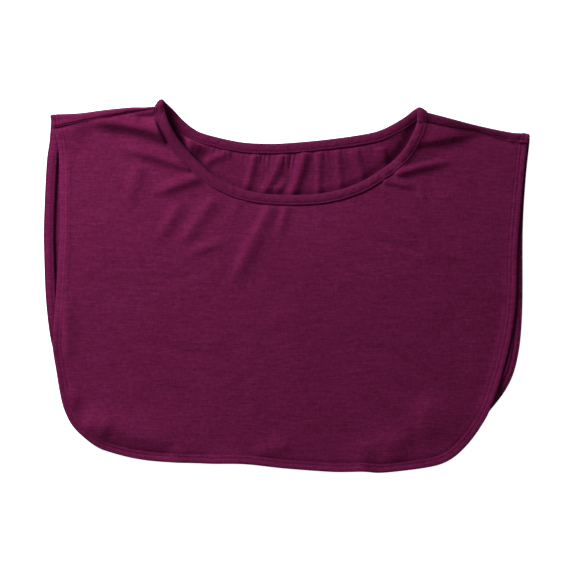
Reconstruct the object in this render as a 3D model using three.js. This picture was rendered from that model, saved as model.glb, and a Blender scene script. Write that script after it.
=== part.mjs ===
// A jersey dickey laid flat: a front and a back panel joined only at the shoulders, with open
// sides, a bound scoop neck, and a turned hem round each panel.
// Millimetres, +Z up. The back panel lies on the surface at Z = 0, the neck points to +Y, and the
// origin is at the bottom centre of the whole.
import * as THREE from "three";

// Cloth
const CLOTH = 1.0; // thickness of one layer of jersey
const GAP = 0.3; // air between one layer and the next
const SEAM_GAP = 0.5; // air between two edges that are sewn together
const LAYER = CLOTH + GAP; // from the middle of one layer to the middle of the next

// Neck binding: a strip folded over the raw neck edge
const BINDING_WIDTH = 9.4;
const BINDING_GRIP = 5.0; // how deep the panel's edge goes into the binding
const BINDING_CLEAR = 1.2; // first row of panel cloth outside the binding

// Hems: the panel's edge turned to the inside
const HEM_WIDTH = 9.0;
const FOLD_RADIUS = LAYER / 2; // the turned edge's fold, at the middle of the cloth

// Shoulders: the back panel rolls forward over the top, and the seam lies on the front
const ROLL_RADIUS = 4.0; // how far in from the silhouette the roll reaches
const ROLL_MID = 5.2; // height of the silhouette of the roll
const SEAM_ALLOWANCE = 6.0;

// Heights of the middle of the cloth over the surface
const BACK_HEIGHT = CLOTH / 2;
const BACK_NECK_RISE = LAYER; // the back neck lies on the lower half of its binding
const BACK_NECK_SLOPE = 16.0; // how far the panel takes to come down to the surface
const RIM_HEIGHT = 5.2; // the front's hem, resting on the back's
const SIDE_LIFT = 4.6; // how much higher the open sides and shoulders stand
const LOFT = 2.2; // air under the middle of the front
const NECK_DIP = 2.0; // how far the front neckline sinks back towards the back panel
const NECK_DIP_CENTRE = { x: 0, y: 86 };
const NECK_DIP_REACH = { x: 92, y: 36 };

// Extent of the panels, for the heights alone
const HALF_WIDTH = 215;
const BOTTOM = -170;
const LENGTH = 335;
const LIFT_STARTS = 0.15; // share of the length, from the bottom
const LIFT_ENDS = 0.7;

// Facets
const FRONT_COLUMNS = 56;
const HALVED_COLUMNS = 5; // steps near each shoulder that are cut in two
const BACK_COLUMNS = 46;
const BINDING_STEP = 2; // the binding has every second column of the panels
const PANEL_ROWS = 10;
const WRAP_TOP_COLUMNS = 3; // seam to silhouette
const WRAP_UNDER_COLUMNS = 3; // silhouette to the flat of the back
const RAIL_SAMPLES = 400;
const ROW_CROWDING = 1.25; // above 1 crowds the rows towards the neck
const END_REACH = 0.25; // how far along a panel the curve of its end line is felt
const SQUARE_FROM = 0.03; // how far along a hem's width turns square to its edge

// Free edge of the neck, left shoulder seam to right shoulder seam over the front.
// lean is the direction across the binding, from the free edge to the panel, in degrees.
const NECK_FRONT = [
  { x: -113.6, y: 170.8, lean: -133.5 },
  { x: -112.3, y: 165.5, lean: -152 },
  { x: -111.0, y: 158.4, lean: -170 },
  { x: -104.1, y: 142.7, lean: -150 },
  { x: -89.3, y: 123.3, lean: -137 },
  { x: -63.0, y: 99.4, lean: -122 },
  { x: -32.8, y: 87.6, lean: -104 },
  { x: -1.4, y: 84.5, lean: -91 },
  { x: 34.4, y: 86.1, lean: -81 },
  { x: 66.1, y: 95.2, lean: -66 },
  { x: 92.8, y: 111.6, lean: -54 },
  { x: 106.8, y: 124.6, lean: -39 },
  { x: 116.4, y: 140.8, lean: -20 },
  { x: 120.2, y: 151.3, lean: -3 },
];

// Free edge of the neck over the back, from just under the left fold to just under the right one.
const NECK_BACK = [
  { x: -111.3, y: 169.7, lean: -134 },
  { x: -105.0, y: 163.7, lean: -135 },
  { x: -95.7, y: 153.8, lean: -129 },
  { x: -86.5, y: 146.4, lean: -119 },
  { x: -77.2, y: 141.8, lean: -110 },
  { x: -58.7, y: 136.9, lean: -102 },
  { x: -40.2, y: 133.4, lean: -96 },
  { x: -21.7, y: 132.3, lean: -91 },
  { x: -3.2, y: 132.5, lean: -88 },
  { x: 33.8, y: 135.6, lean: -85 },
  { x: 70.8, y: 140.6, lean: -79 },
  { x: 89.3, y: 145.5, lean: -70 },
  { x: 107.8, y: 155.6, lean: -58 },
  { x: 116.8, y: 162.6, lean: -46 },
];

// Outer edge of the front panel, left shoulder to right shoulder.
const HEM_FRONT = [
  { x: -216.9, y: 147.0 },
  { x: -212.9, y: 139.0 },
  { x: -210.7, y: 119.6 },
  { x: -210.0, y: 56.0 },
  { x: -212.5, y: 13.0 },
  { x: -216.0, y: -40.5 },
  { x: -216.4, y: -58.0 },
  { x: -213.2, y: -79.3 },
  { x: -209.5, y: -101.5 },
  { x: -204.9, y: -116.3 },
  { x: -196.6, y: -131.1 },
  { x: -179.9, y: -145.9 },
  { x: -163.3, y: -153.3 },
  { x: -129.0, y: -160.7 },
  { x: -77.0, y: -163.5 },
  { x: -40.0, y: -163.9 },
  { x: -3.0, y: -168.1 },
  { x: 43.0, y: -171.4 },
  { x: 70.8, y: -171.2 },
  { x: 90.2, y: -172.4 },
  { x: 130.0, y: -167.4 },
  { x: 148.5, y: -161.8 },
  { x: 163.3, y: -150.5 },
  { x: 178.1, y: -132.5 },
  { x: 190.1, y: -109.8 },
  { x: 203.5, y: -67.0 },
  { x: 211.5, y: -22.0 },
  { x: 213.5, y: 33.5 },
  { x: 217.3, y: 80.7 },
  { x: 222.5, y: 129.7 },
  { x: 223.2, y: 133.0 },
];

// Outer edge of the back panel, from under the left shoulder fold to under the right one.
const HEM_BACK = [
  { x: -218.4, y: 154.4 },
  { x: -219.7, y: 135.3 },
  { x: -222.5, y: 113.1 },
  { x: -224.9, y: 61.3 },
  { x: -224.9, y: 33.5 },
  { x: -223.1, y: -12.7 },
  { x: -218.8, y: -47.9 },
  { x: -213.0, y: -70.0 },
  { x: -203.0, y: -108.0 },
  { x: -177.0, y: -141.0 },
  { x: -128.0, y: -156.5 },
  { x: -77.0, y: -159.8 },
  { x: -3.0, y: -164.0 },
  { x: 43.0, y: -167.8 },
  { x: 90.0, y: -168.6 },
  { x: 129.0, y: -163.6 },
  { x: 157.0, y: -149.5 },
  { x: 183.2, y: -121.9 },
  { x: 204.0, y: -94.1 },
  { x: 214.1, y: -64.5 },
  { x: 218.1, y: -22.0 },
  { x: 218.6, y: 52.0 },
  { x: 221.2, y: 98.3 },
  { x: 224.6, y: 131.0 },
  { x: 225.1, y: 135.6 },
];

// Shoulder seams, from the binding out to the hem.
const SEAM_LEFT = [
  { x: -120.1, y: 164.0 },
  { x: -143.8, y: 161.2 },
  { x: -166.0, y: 157.7 },
  { x: -189.2, y: 153.2 },
  { x: -209.0, y: 148.8 },
  { x: -216.9, y: 147.0 },
];
const SEAM_RIGHT = [
  { x: 129.6, y: 150.8 },
  { x: 150.2, y: 146.5 },
  { x: 166.0, y: 144.3 },
  { x: 176.8, y: 144.0 },
  { x: 187.3, y: 141.2 },
  { x: 198.0, y: 136.6 },
  { x: 208.6, y: 133.9 },
  { x: 223.2, y: 133.0 },
];

// Silhouettes of the shoulder rolls, from the binding out to the hem.
const ROLL_LEFT = [
  { x: -120.4, y: 165.6 },
  { x: -130.9, y: 165.0 },
  { x: -143.8, y: 165.1 },
  { x: -166.0, y: 163.0 },
  { x: -191.0, y: 159.9 },
  { x: -209.5, y: 159.0 },
  { x: -218.3, y: 158.4 },
];
const ROLL_RIGHT = [
  { x: 129.5, y: 160.3 },
  { x: 150.2, y: 155.0 },
  { x: 171.4, y: 149.7 },
  { x: 192.7, y: 144.9 },
  { x: 208.6, y: 141.9 },
  { x: 216.9, y: 141.2 },
  { x: 225.1, y: 139.6 },
];
const PEAK_LEFT = { x: -113.9, y: 172.5 }; // where the free neck edge turns over the shoulder
const PEAK_RIGHT = { x: 120.2, y: 164.7 };

// Folds. Each runs from (x0, y0) to (x1, y1), bowed sideways by bend at its middle. wide is the
// half width, tall the height (below 0 for a valley), and rise and fall are the shares of the
// length over which it swells and dies away.
const FRONT_FOLDS = [
  // from the left shoulder and the left of the neck
  { x0: -127, y0: 158, x1: -188, y1: 153, bend: 0, wide: 4.5, tall: 0.9, rise: 0.4, fall: 0.5 },
  { x0: -115, y0: 137.5, x1: -196, y1: 149, bend: -4.6, wide: 4.5, tall: -2.2, rise: 0.05, fall: 0.55 },
  { x0: -108, y0: 126, x1: -160, y1: 137, bend: -2, wide: 6, tall: 1.0, rise: 0.1, fall: 0.6 },
  { x0: -92, y0: 109.5, x1: -145, y1: 124, bend: -1, wide: 4, tall: -1.9, rise: 0.05, fall: 0.6 },
  { x0: -83, y0: 100, x1: -122, y1: 92, bend: 2, wide: 5, tall: -1.3, rise: 0.1, fall: 0.6 },
  { x0: -72, y0: 92, x1: -122, y1: 58, bend: 0, wide: 6, tall: 0.9, rise: 0.4, fall: 0.5 },
  { x0: -58, y0: 86, x1: -106, y1: 35, bend: 0, wide: 5, tall: 1.6, rise: 0.2, fall: 0.5 },
  { x0: -48, y0: 80, x1: -90, y1: 34, bend: 0, wide: 5, tall: -1.0, rise: 0.2, fall: 0.5 },
  // from the middle of the neck
  { x0: -20, y0: 77, x1: -62, y1: -4, bend: 0, wide: 4.5, tall: 2.1, rise: 0.06, fall: 0.55 },
  { x0: -10, y0: 76, x1: -47, y1: -12, bend: 0, wide: 5, tall: -1.5, rise: 0.06, fall: 0.55 },
  { x0: 3, y0: 75, x1: -6, y1: 44, bend: 0, wide: 3.5, tall: 0.8, rise: 0.1, fall: 0.6 },
  // from the right of the neck
  { x0: 108, y0: 116, x1: 178, y1: 141, bend: 2, wide: 6, tall: -2.6, rise: 0.1, fall: 0.45 },
  { x0: 102, y0: 106, x1: 157, y1: 119, bend: 1, wide: 3.5, tall: 1.5, rise: 0.1, fall: 0.6 },
  { x0: 98, y0: 101.5, x1: 155, y1: 111, bend: 1, wide: 3.2, tall: -1.5, rise: 0.05, fall: 0.6 },
  { x0: 88, y0: 96, x1: 119, y1: 90, bend: 0, wide: 3.5, tall: -1.1, rise: 0.05, fall: 0.6 },
  { x0: 86, y0: 38, x1: 134, y1: 28, bend: -1, wide: 3.5, tall: -0.8, rise: 0.3, fall: 0.4 },
  // dents along the bottom
  { x0: -186, y0: -119, x1: -164, y1: -128, bend: 0, wide: 8, tall: 1.1, rise: 0.5, fall: 0.5 },
  { x0: -182, y0: -137, x1: -110, y1: -151, bend: -2, wide: 5, tall: -1.0, rise: 0.3, fall: 0.3 },
  { x0: -136, y0: -136, x1: -102, y1: -157, bend: 0, wide: 6, tall: 1.2, rise: 0.5, fall: 0.2 },
  { x0: -64, y0: -157, x1: -6, y1: -141, bend: 0, wide: 6, tall: 1.0, rise: 0.3, fall: 0.5 },
  { x0: 70, y0: -120, x1: 118, y1: -152, bend: 0, wide: 8, tall: -1.1, rise: 0.5, fall: 0.3 },
  { x0: 122, y0: -104, x1: 125, y1: -158, bend: 0, wide: 7, tall: 1.0, rise: 0.5, fall: 0.3 },
];

// Gathers below the back neck, seen through the neck. They only rise, from the surface.
const BACK_FOLDS = [
  { x0: -50, y0: 126, x1: -82, y1: 112, bend: 0, wide: 3.2, tall: 1.5, rise: 0.1, fall: 0.5 },
  { x0: -30, y0: 124, x1: -43, y1: 78, bend: 1, wide: 3.2, tall: 1.9, rise: 0.1, fall: 0.5 },
  { x0: -4, y0: 124, x1: -29, y1: 78, bend: -3, wide: 3.4, tall: 2.0, rise: 0.1, fall: 0.5 },
  { x0: 16, y0: 125, x1: -3, y1: 76, bend: -1, wide: 3.6, tall: 2.1, rise: 0.1, fall: 0.5 },
  { x0: 28, y0: 126, x1: 27, y1: 76, bend: 0, wide: 3.2, tall: 1.8, rise: 0.1, fall: 0.5 },
  { x0: 45, y0: 127, x1: 52, y1: 80, bend: 0, wide: 3.2, tall: 1.6, rise: 0.1, fall: 0.5 },
  { x0: 64, y0: 129, x1: 77, y1: 92, bend: 0, wide: 3.4, tall: 1.4, rise: 0.1, fall: 0.5 },
];

// Colour of the jersey
const PLUM = 0x641f46;
const PLUM_BINDING = 0x5e1b41;

const vec = (x, y, z) => new THREE.Vector3(x, y, z);
const { clamp, degToRad, lerp, smoothstep } = THREE.MathUtils;

// A line through a table's rows, read by the share of its length.
class Rail {
  constructor(rows) {
    this.rows = rows;
    this.curve = new THREE.SplineCurve(rows.map((row) => new THREE.Vector2(row.x, row.y)));
    this.curve.arcLengthDivisions = RAIL_SAMPLES;
  }

  point(share) {
    return this.curve.getPointAt(clamp(share, 0, 1));
  }

  // The direction across the binding at that share, as a unit vector.
  across(share) {
    const place = this.curve.getUtoTmapping(clamp(share, 0, 1)) * (this.rows.length - 1);
    const row = Math.min(Math.floor(place), this.rows.length - 2);
    const angle = degToRad(lerp(this.rows[row].lean, this.rows[row + 1].lean, place - row));
    return new THREE.Vector2(Math.cos(angle), Math.sin(angle));
  }

  // The direction square to the line, to the left of its run.
  leftward(share) {
    const along = this.curve.getTangentAt(clamp(share, 0, 1));
    return new THREE.Vector2(-along.y, along.x);
  }

  get length() {
    return this.curve.getLength();
  }

  points(count) {
    return this.curve.getSpacedPoints(count);
  }
}

const neckFront = new Rail(NECK_FRONT);
const neckBack = new Rail(NECK_BACK);
const hemFront = new Rail(HEM_FRONT);
const hemBack = new Rail(HEM_BACK);
const seamLeft = new Rail(SEAM_LEFT);
const seamRight = new Rail(SEAM_RIGHT);
const rollLeft = new Rail(ROLL_LEFT);
const rollRight = new Rail(ROLL_RIGHT);

// Shortest distance from (x, y) to a run of points.
function distanceTo(points, x, y) {
  let nearest = Infinity;
  for (let i = 1; i < points.length; i += 1) {
    const a = points[i - 1];
    const b = points[i];
    const length = (b.x - a.x) ** 2 + (b.y - a.y) ** 2;
    const share = clamp(((x - a.x) * (b.x - a.x) + (y - a.y) * (b.y - a.y)) / length, 0, 1);
    const away = Math.hypot(x - lerp(a.x, b.x, share), y - lerp(a.y, b.y, share));
    nearest = Math.min(nearest, away);
  }
  return nearest;
}

// The height that one row of a table of folds gives a point.
function foldHeight(fold, x, y) {
  const length = Math.hypot(fold.x1 - fold.x0, fold.y1 - fold.y0);
  const alongX = (fold.x1 - fold.x0) / length;
  const alongY = (fold.y1 - fold.y0) / length;
  const share = ((x - fold.x0) * alongX + (y - fold.y0) * alongY) / length;
  if (share <= 0 || share >= 1) return 0;
  const bow = fold.bend * 4 * share * (1 - share);
  const aside = (y - fold.y0) * alongX - (x - fold.x0) * alongY - bow;
  const swell = smoothstep(share, 0, fold.rise) * (1 - smoothstep(share, 1 - fold.fall, 1));
  return fold.tall * swell * Math.exp(-((aside / fold.wide) ** 2));
}

const foldsAt = (table, x, y) => table.reduce((sum, fold) => sum + foldHeight(fold, x, y), 0);

const rollLines = [
  [PEAK_LEFT, ...rollLeft.points(40)],
  [PEAK_RIGHT, ...rollRight.points(40)],
];
const frontNeckLine = neckFront.points(80);
const backNeckLine = neckBack.points(80);

// 0 on the silhouette of a shoulder roll, 1 where the cloth has come off the roll.
function offRoll(x, y) {
  const away = Math.min(...rollLines.map((line) => distanceTo(line, x, y)));
  const left = 1 - clamp(away / ROLL_RADIUS, 0, 1);
  return Math.sqrt(1 - left * left);
}

// Middle of the upper layer: the front panel, and the back panel from its seam to the silhouette.
function upper(x, y) {
  const across = x / HALF_WIDTH;
  const up = (y - BOTTOM) / LENGTH;
  const side = SIDE_LIFT * smoothstep(up, LIFT_STARTS, LIFT_ENDS);
  const loft = LOFT * Math.max(0, 1 - across * across) * Math.sin(Math.PI * clamp(up, 0, 1));
  const dipX = (x - NECK_DIP_CENTRE.x) / NECK_DIP_REACH.x;
  const dipY = (y - NECK_DIP_CENTRE.y) / NECK_DIP_REACH.y;
  const dip = NECK_DIP * Math.exp(-(dipX * dipX) - dipY * dipY);
  const clear = smoothstep(distanceTo(frontNeckLine, x, y), BINDING_WIDTH - 1, BINDING_WIDTH + 4);
  const height = RIM_HEIGHT + side + loft - dip + clear * foldsAt(FRONT_FOLDS, x, y);
  return lerp(ROLL_MID, height, offRoll(x, y));
}

// Middle of the lower layer: the back panel.
function lower(x, y) {
  const away = distanceTo(backNeckLine, x, y) - BINDING_WIDTH;
  const rise = BACK_NECK_RISE * (1 - smoothstep(away, 0, BACK_NECK_SLOPE));
  const clear = smoothstep(away, 0, 5);
  const height = BACK_HEIGHT + rise + clear * foldsAt(BACK_FOLDS, x, y);
  return lerp(ROLL_MID, height, offRoll(x, y));
}

const onLayer = (point, layer) => vec(point.x, point.y, layer(point.x, point.y));

// The line that ends a panel, from the binding to the hem. bodyShare is the part of it that the
// hem leaves over.
class EndLine {
  constructor(rail, bend = (place) => place) {
    this.rail = rail;
    this.bend = bend;
    this.bodyShare = 1 - HEM_WIDTH / rail.length;
  }

  point(share) {
    return this.bend(this.rail.point(share), share);
  }

  body(s) {
    return this.point(s * this.bodyShare);
  }

  // The direction in from the hem's edge.
  get inward() {
    return this.point(this.bodyShare).sub(this.point(1)).normalize();
  }
}

// Shares from 0 to 1 in even steps, with half steps near both ends.
function columnShares(columns, halved) {
  const shares = [];
  for (let i = 0; i <= columns; i += 1) {
    shares.push(i / columns);
    if (i < halved || (i >= columns - halved && i < columns)) shares.push((i + 0.5) / columns);
  }
  return shares;
}

// Spokes of one panel between its two end lines. Each runs from the free neck edge (neck) over
// the binding (seam) and the body, body(0) to body(1), to the hem: rim(d) is a distance d in from
// the outer edge.
function panelSpokes(shares, neckRail, hemRail, endLeft, endRight, layer) {
  return shares.map((t) => {
    const neck = neckRail.point(t);
    const seam = neck.clone().addScaledVector(neckRail.across(t), BINDING_WIDTH);
    const hem = hemRail.point(t);
    const end = t < 0.5 ? endLeft : endRight;
    const fromEnd = Math.min(t, 1 - t);
    const inward = end.inward.lerp(hemRail.leftward(t), smoothstep(fromEnd, 0, SQUARE_FROM));
    const rim = (d) => hem.clone().addScaledVector(inward.normalize(), d);
    const nearEnd = 1 - smoothstep(fromEnd, 0, END_REACH);
    const body = (s) => {
      const straight = end.body(0).lerp(end.body(1), s);
      const bow = end.body(s).sub(straight).multiplyScalar(nearEnd);
      return seam.clone().lerp(rim(HEM_WIDTH), s).add(bow);
    };
    return {
      neck: onLayer(neck, layer),
      seam: onLayer(seam, layer),
      body: (s) => onLayer(body(s), layer),
      rim: (d) => onLayer(rim(d), layer),
    };
  });
}

// Where the back panel reaches the flat under a roll.
function underRoll(roll) {
  return new EndLine(roll, (place) => place.setY(place.y - ROLL_RADIUS));
}

const frontSpokes = panelSpokes(
  columnShares(FRONT_COLUMNS, HALVED_COLUMNS),
  neckFront,
  hemFront,
  new EndLine(seamLeft),
  new EndLine(seamRight),
  upper,
);
const backSpokes = panelSpokes(
  columnShares(BACK_COLUMNS, 0),
  neckBack,
  hemBack,
  underRoll(rollLeft),
  underRoll(rollRight),
  lower,
);

// Spokes over a shoulder roll, from the seam (top) round to the flat of the back (under).
function wrapSpokes(top, peak, roll, under) {
  const line = new EndLine(roll);
  const crest = (share) => onLayer(line.point(share), () => ROLL_MID);
  const peakPoint = onLayer(peak, () => ROLL_MID);
  // share is 0 on the silhouette and 1 where the roll ends
  const turned = (from, share) => {
    const mix = (a, b) => {
      const place = a.clone().lerp(b, share);
      return place.setZ(lerp(a.z, b.z, Math.sqrt(1 - (1 - share) ** 2)));
    };
    return {
      neck: mix(peakPoint, from.neck),
      seam: mix(crest(0), from.seam),
      body: (s) => mix(crest(s * line.bodyShare), from.body(s)),
      rim: (d) => mix(crest(1 - d / roll.length), from.rim(d)),
    };
  };
  const spokes = [];
  for (let i = 0; i < WRAP_TOP_COLUMNS; i += 1) {
    spokes.push(turned(top, 1 - Math.sin((Math.PI / 2) * (i / WRAP_TOP_COLUMNS))));
  }
  for (let i = 0; i < WRAP_UNDER_COLUMNS; i += 1) {
    spokes.push(turned(under, 1 - Math.cos((Math.PI / 2) * (i / WRAP_UNDER_COLUMNS))));
  }
  return spokes;
}

const leftWrap = wrapSpokes(frontSpokes[0], PEAK_LEFT, rollLeft, backSpokes[0]);
const rightWrap = wrapSpokes(frontSpokes.at(-1), PEAK_RIGHT, rollRight, backSpokes.at(-1));

// Surface normals of a grid of points, grid[column][row].
function normalsOf(grid) {
  const step = (list, i) => list[Math.min(i + 1, list.length - 1)].clone().sub(list[Math.max(i - 1, 0)]);
  return grid.map((column, i) =>
    column.map((point, j) => {
      const down = step(column, j);
      const along = step(grid.map((other) => other[j]), i);
      return along.cross(down).normalize();
    }),
  );
}

const shifted = (grid, normals, by) =>
  grid.map((column, i) => column.map((point, j) => point.clone().addScaledVector(normals[i][j], by)));

// A closed solid of cloth: the grid is the middle of the layer.
function cloth(grid) {
  const normals = normalsOf(grid);
  const faces = [shifted(grid, normals, CLOTH / 2), shifted(grid, normals, -CLOTH / 2)];
  const rows = grid[0].length;
  const columns = grid.length;
  const index = (side, i, j) => (side * columns + i) * rows + j;
  const triangles = [];
  const quad = (a, b, c, d) => triangles.push(a, b, c, a, c, d);
  for (let i = 0; i < columns - 1; i += 1) {
    for (let j = 0; j < rows - 1; j += 1) {
      const top = [index(0, i, j), index(0, i + 1, j), index(0, i + 1, j + 1), index(0, i, j + 1)];
      const under = [index(1, i, j), index(1, i, j + 1), index(1, i + 1, j + 1), index(1, i + 1, j)];
      // The quad is split along the crease, between the corners that face most alike.
      const straight = normals[i][j].dot(normals[i + 1][j + 1]);
      const crossed = normals[i + 1][j].dot(normals[i][j + 1]);
      if (crossed > straight) {
        top.push(top.shift());
        under.push(under.shift());
      }
      quad(...top);
      quad(...under);
    }
    quad(index(1, i, 0), index(1, i + 1, 0), index(0, i + 1, 0), index(0, i, 0));
    const last = rows - 1;
    quad(index(0, i, last), index(0, i + 1, last), index(1, i + 1, last), index(1, i, last));
  }
  for (let j = 0; j < rows - 1; j += 1) {
    quad(index(0, 0, j), index(0, 0, j + 1), index(1, 0, j + 1), index(1, 0, j));
    const last = columns - 1;
    quad(index(1, last, j), index(1, last, j + 1), index(0, last, j + 1), index(0, last, j));
  }
  const geometry = new THREE.BufferGeometry().setFromPoints(faces.flat(2));
  geometry.setIndex(triangles);
  geometry.computeVertexNormals();
  return geometry;
}

// One panel: its neck edge inside the binding, its body, and its hem up to the fold.
function panelGrid(spokes) {
  return spokes.map((line) => {
    const across = line.seam.clone().sub(line.neck).normalize();
    const column = [line.seam.clone().addScaledVector(across, -BINDING_GRIP), line.seam.clone()];
    const first = BINDING_CLEAR / line.body(1).distanceTo(line.body(0));
    for (let j = 0; j <= PANEL_ROWS; j += 1) {
      column.push(line.body(lerp(first, 1, (j / PANEL_ROWS) ** ROW_CROWDING)));
    }
    column.push(line.rim(CLOTH / 2 + FOLD_RADIUS));
    return column;
  });
}

// Adds the fold at the outer edge and returns the whole panel's grid with the hem's own. inner is
// 1 where the grid's normals point into the dickey, -1 where they point out of it.
function withHem(body, inner) {
  const normals = normalsOf(body);
  const last = body[0].length - 1;
  const panel = [];
  const hem = [];
  body.forEach((column, i) => {
    const edge = column[last];
    const inward = column[last - 1].clone().sub(edge).normalize();
    const inside = normals[i][last].clone().multiplyScalar(inner);
    const folded = (out, deep) =>
      edge.clone().addScaledVector(inward, -out * FOLD_RADIUS).addScaledVector(inside, deep * FOLD_RADIUS);
    panel.push([...column, folded(1, 1), folded(0, 2), folded(-1, 2)]);
    hem.push([
      column[last - 1].clone().addScaledVector(normals[i][last - 1], inner * LAYER),
      edge.clone().addScaledVector(inward, FOLD_RADIUS + GAP).addScaledVector(inside, LAYER),
    ]);
  });
  return { panel, hem };
}

// Moves the end column of a grid a little along, so that two ends that meet keep a gap.
function trimEnds(grid, by) {
  const pull = (column, next) =>
    column.map((point, j) => {
      const way = next[j].clone().sub(point);
      return point.clone().addScaledVector(way.normalize(), Math.min(by, way.length() / 2));
    });
  const trimmed = [...grid];
  trimmed[0] = pull(grid[0], grid[1]);
  trimmed[grid.length - 1] = pull(grid.at(-1), grid.at(-2));
  return trimmed;
}

const frontGrids = withHem(panelGrid(frontSpokes), 1);
const wholeBack = [...leftWrap, ...backSpokes, ...rightWrap.toReversed()];
const backGrids = withHem(panelGrid(wholeBack), -1);

const frontPanel = trimEnds(frontGrids.panel, SEAM_GAP / 2);
const frontHem = trimEnds(frontGrids.hem, SEAM_GAP / 2);
const backPanel = trimEnds(backGrids.panel, SEAM_GAP / 2);
const backHem = trimEnds(backGrids.hem, SEAM_GAP / 2);

// The binding, from its end at the right shoulder seam over the front, round the back and up to
// the same seam again.
function bindingGrid() {
  const thinned = (spokes) =>
    spokes.filter((line, i) => i % BINDING_STEP === 0 || i < 4 || i > spokes.length - 5);
  const ring = [
    ...thinned(frontSpokes).toReversed(),
    ...leftWrap.slice(1),
    ...thinned(backSpokes),
    ...rightWrap.toReversed(),
  ];
  const middle = ring.map((line) => line.neck.clone().lerp(line.seam, 0.5));
  return ring.map((line, i) => {
    const before = middle[Math.max(i - 1, 0)];
    const after = middle[Math.min(i + 1, ring.length - 1)];
    const across = line.seam.clone().sub(line.neck).normalize();
    const out = after.clone().sub(before).cross(across).normalize();
    const at = (along, high) =>
      line.neck.clone().addScaledVector(across, along).addScaledVector(out, high);
    const bend = LAYER + CLOTH / 2; // the free edge's fold starts this far in
    return [
      at(BINDING_WIDTH, LAYER),
      at(bend, LAYER),
      at(CLOTH / 2 + LAYER * 0.3, LAYER * 0.72),
      at(CLOTH / 2, 0),
      at(CLOTH / 2 + LAYER * 0.3, -LAYER * 0.72),
      at(bend, -LAYER),
      at(BINDING_WIDTH, -LAYER),
    ];
  });
}

// The point a distance along a run of points.
function walk(points, distance) {
  let left = distance;
  for (let i = 1; i < points.length; i += 1) {
    const step = points[i - 1].distanceTo(points[i]);
    if (left <= step) return points[i - 1].clone().lerp(points[i], left / step);
    left -= step;
  }
  return points.at(-1).clone();
}

// The overlocked seam allowance inside a shoulder, lying under the front panel's first columns
// and clear of the binding and the hem.
function allowanceGrid(columns) {
  const first = 2;
  const last = columns[0].length - 6;
  const grid = [SEAM_GAP, SEAM_ALLOWANCE / 2, SEAM_ALLOWANCE].map((aside) => {
    const line = [];
    for (let j = first; j <= last; j += 1) line.push(walk(columns.map((column) => column[j]), aside));
    const inHem = walk(columns.map((column) => column[last + 1]), aside);
    line.push(line.at(-1).clone().lerp(inHem, 0.8));
    return line;
  });
  const normals = normalsOf(grid);
  return shifted(grid, normals, -LAYER * Math.sign(normals[0][0].z));
}

const jersey = (name, colour) =>
  new THREE.MeshStandardMaterial({ name, color: colour, roughness: 0.9, metalness: 0 });
const panelJersey = jersey("panel_jersey", PLUM);
const bindingJersey = jersey("binding_jersey", PLUM_BINDING);

const dickey = new THREE.Group();

function piece(name, grid, material) {
  const mesh = new THREE.Mesh(cloth(grid), material);
  mesh.name = name;
  dickey.add(mesh);
}

piece("front_panel", frontPanel, panelJersey);
piece("back_panel", backPanel, panelJersey);
piece("front_hem", frontHem, panelJersey);
piece("back_hem", backHem, panelJersey);
piece("neck_binding", trimEnds(bindingGrid(), SEAM_GAP / 2), bindingJersey);
piece("left_shoulder_seam", allowanceGrid(frontPanel), panelJersey);
piece("right_shoulder_seam", allowanceGrid(frontPanel.toReversed()), panelJersey);

export default dickey;
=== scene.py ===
"""The looks of a plum jersey dickey that lies flat on its back panel, seen from straight above.

Tables and sizes are in millimetres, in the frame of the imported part: +X right, +Y towards the
neck, +Z up out of the surface. Meshes, materials, lights and the camera are in metres.
"""

import math

import bpy
import numpy as np
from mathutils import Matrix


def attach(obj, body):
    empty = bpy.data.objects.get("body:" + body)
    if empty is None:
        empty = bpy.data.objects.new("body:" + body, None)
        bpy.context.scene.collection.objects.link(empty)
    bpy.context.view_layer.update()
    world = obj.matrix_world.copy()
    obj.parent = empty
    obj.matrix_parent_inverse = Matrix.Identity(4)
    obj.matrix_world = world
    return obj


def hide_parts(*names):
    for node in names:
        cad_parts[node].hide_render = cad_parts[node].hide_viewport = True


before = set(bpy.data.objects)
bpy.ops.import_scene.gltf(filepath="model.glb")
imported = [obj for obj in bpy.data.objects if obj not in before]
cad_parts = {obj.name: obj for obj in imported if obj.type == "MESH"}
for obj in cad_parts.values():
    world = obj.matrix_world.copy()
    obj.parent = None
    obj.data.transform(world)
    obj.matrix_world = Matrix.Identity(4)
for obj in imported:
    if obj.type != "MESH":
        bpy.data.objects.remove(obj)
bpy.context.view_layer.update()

MM = 0.001

# Cloth
CLOTH = 1.0  # thickness of one layer of jersey
GAP = 0.3  # air between one layer and the next
LAYER = CLOTH + GAP  # from the middle of one layer to the middle of the next
SEAM_GAP = 0.16  # between two edges that are sewn together

# Neck binding
BINDING_WIDTH = 9.4
BINDING_GRIP = 5.0  # how deep a panel's edge goes into the binding
BINDING_CLEAR = 1.0  # first row of panel cloth outside the binding
BINDING_STITCH = 7.7  # from the free edge to the row of stitches
BINDING_GROOVE = 1.42  # height of the strip's face under that row
BINDING_RIPPLES = ((0.13, 0.9, 7, 11), (0.1, -1.4, 11, 12))  # height, slant, wavelength and seed
BINDING_WANDER = 0.12  # how unevenly the strip's seam edge runs
RING_STEP = 1.3
DITCH = 0.45  # the panels dip where they go into the binding
DITCH_REACH = 1.3
RIGHT_SWELL = 0.7  # on the right they swell there
RIGHT_SWELL_REACH = 2.4
RIGHT_SWELL_STARTS = (84.0, 102.0)

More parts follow.
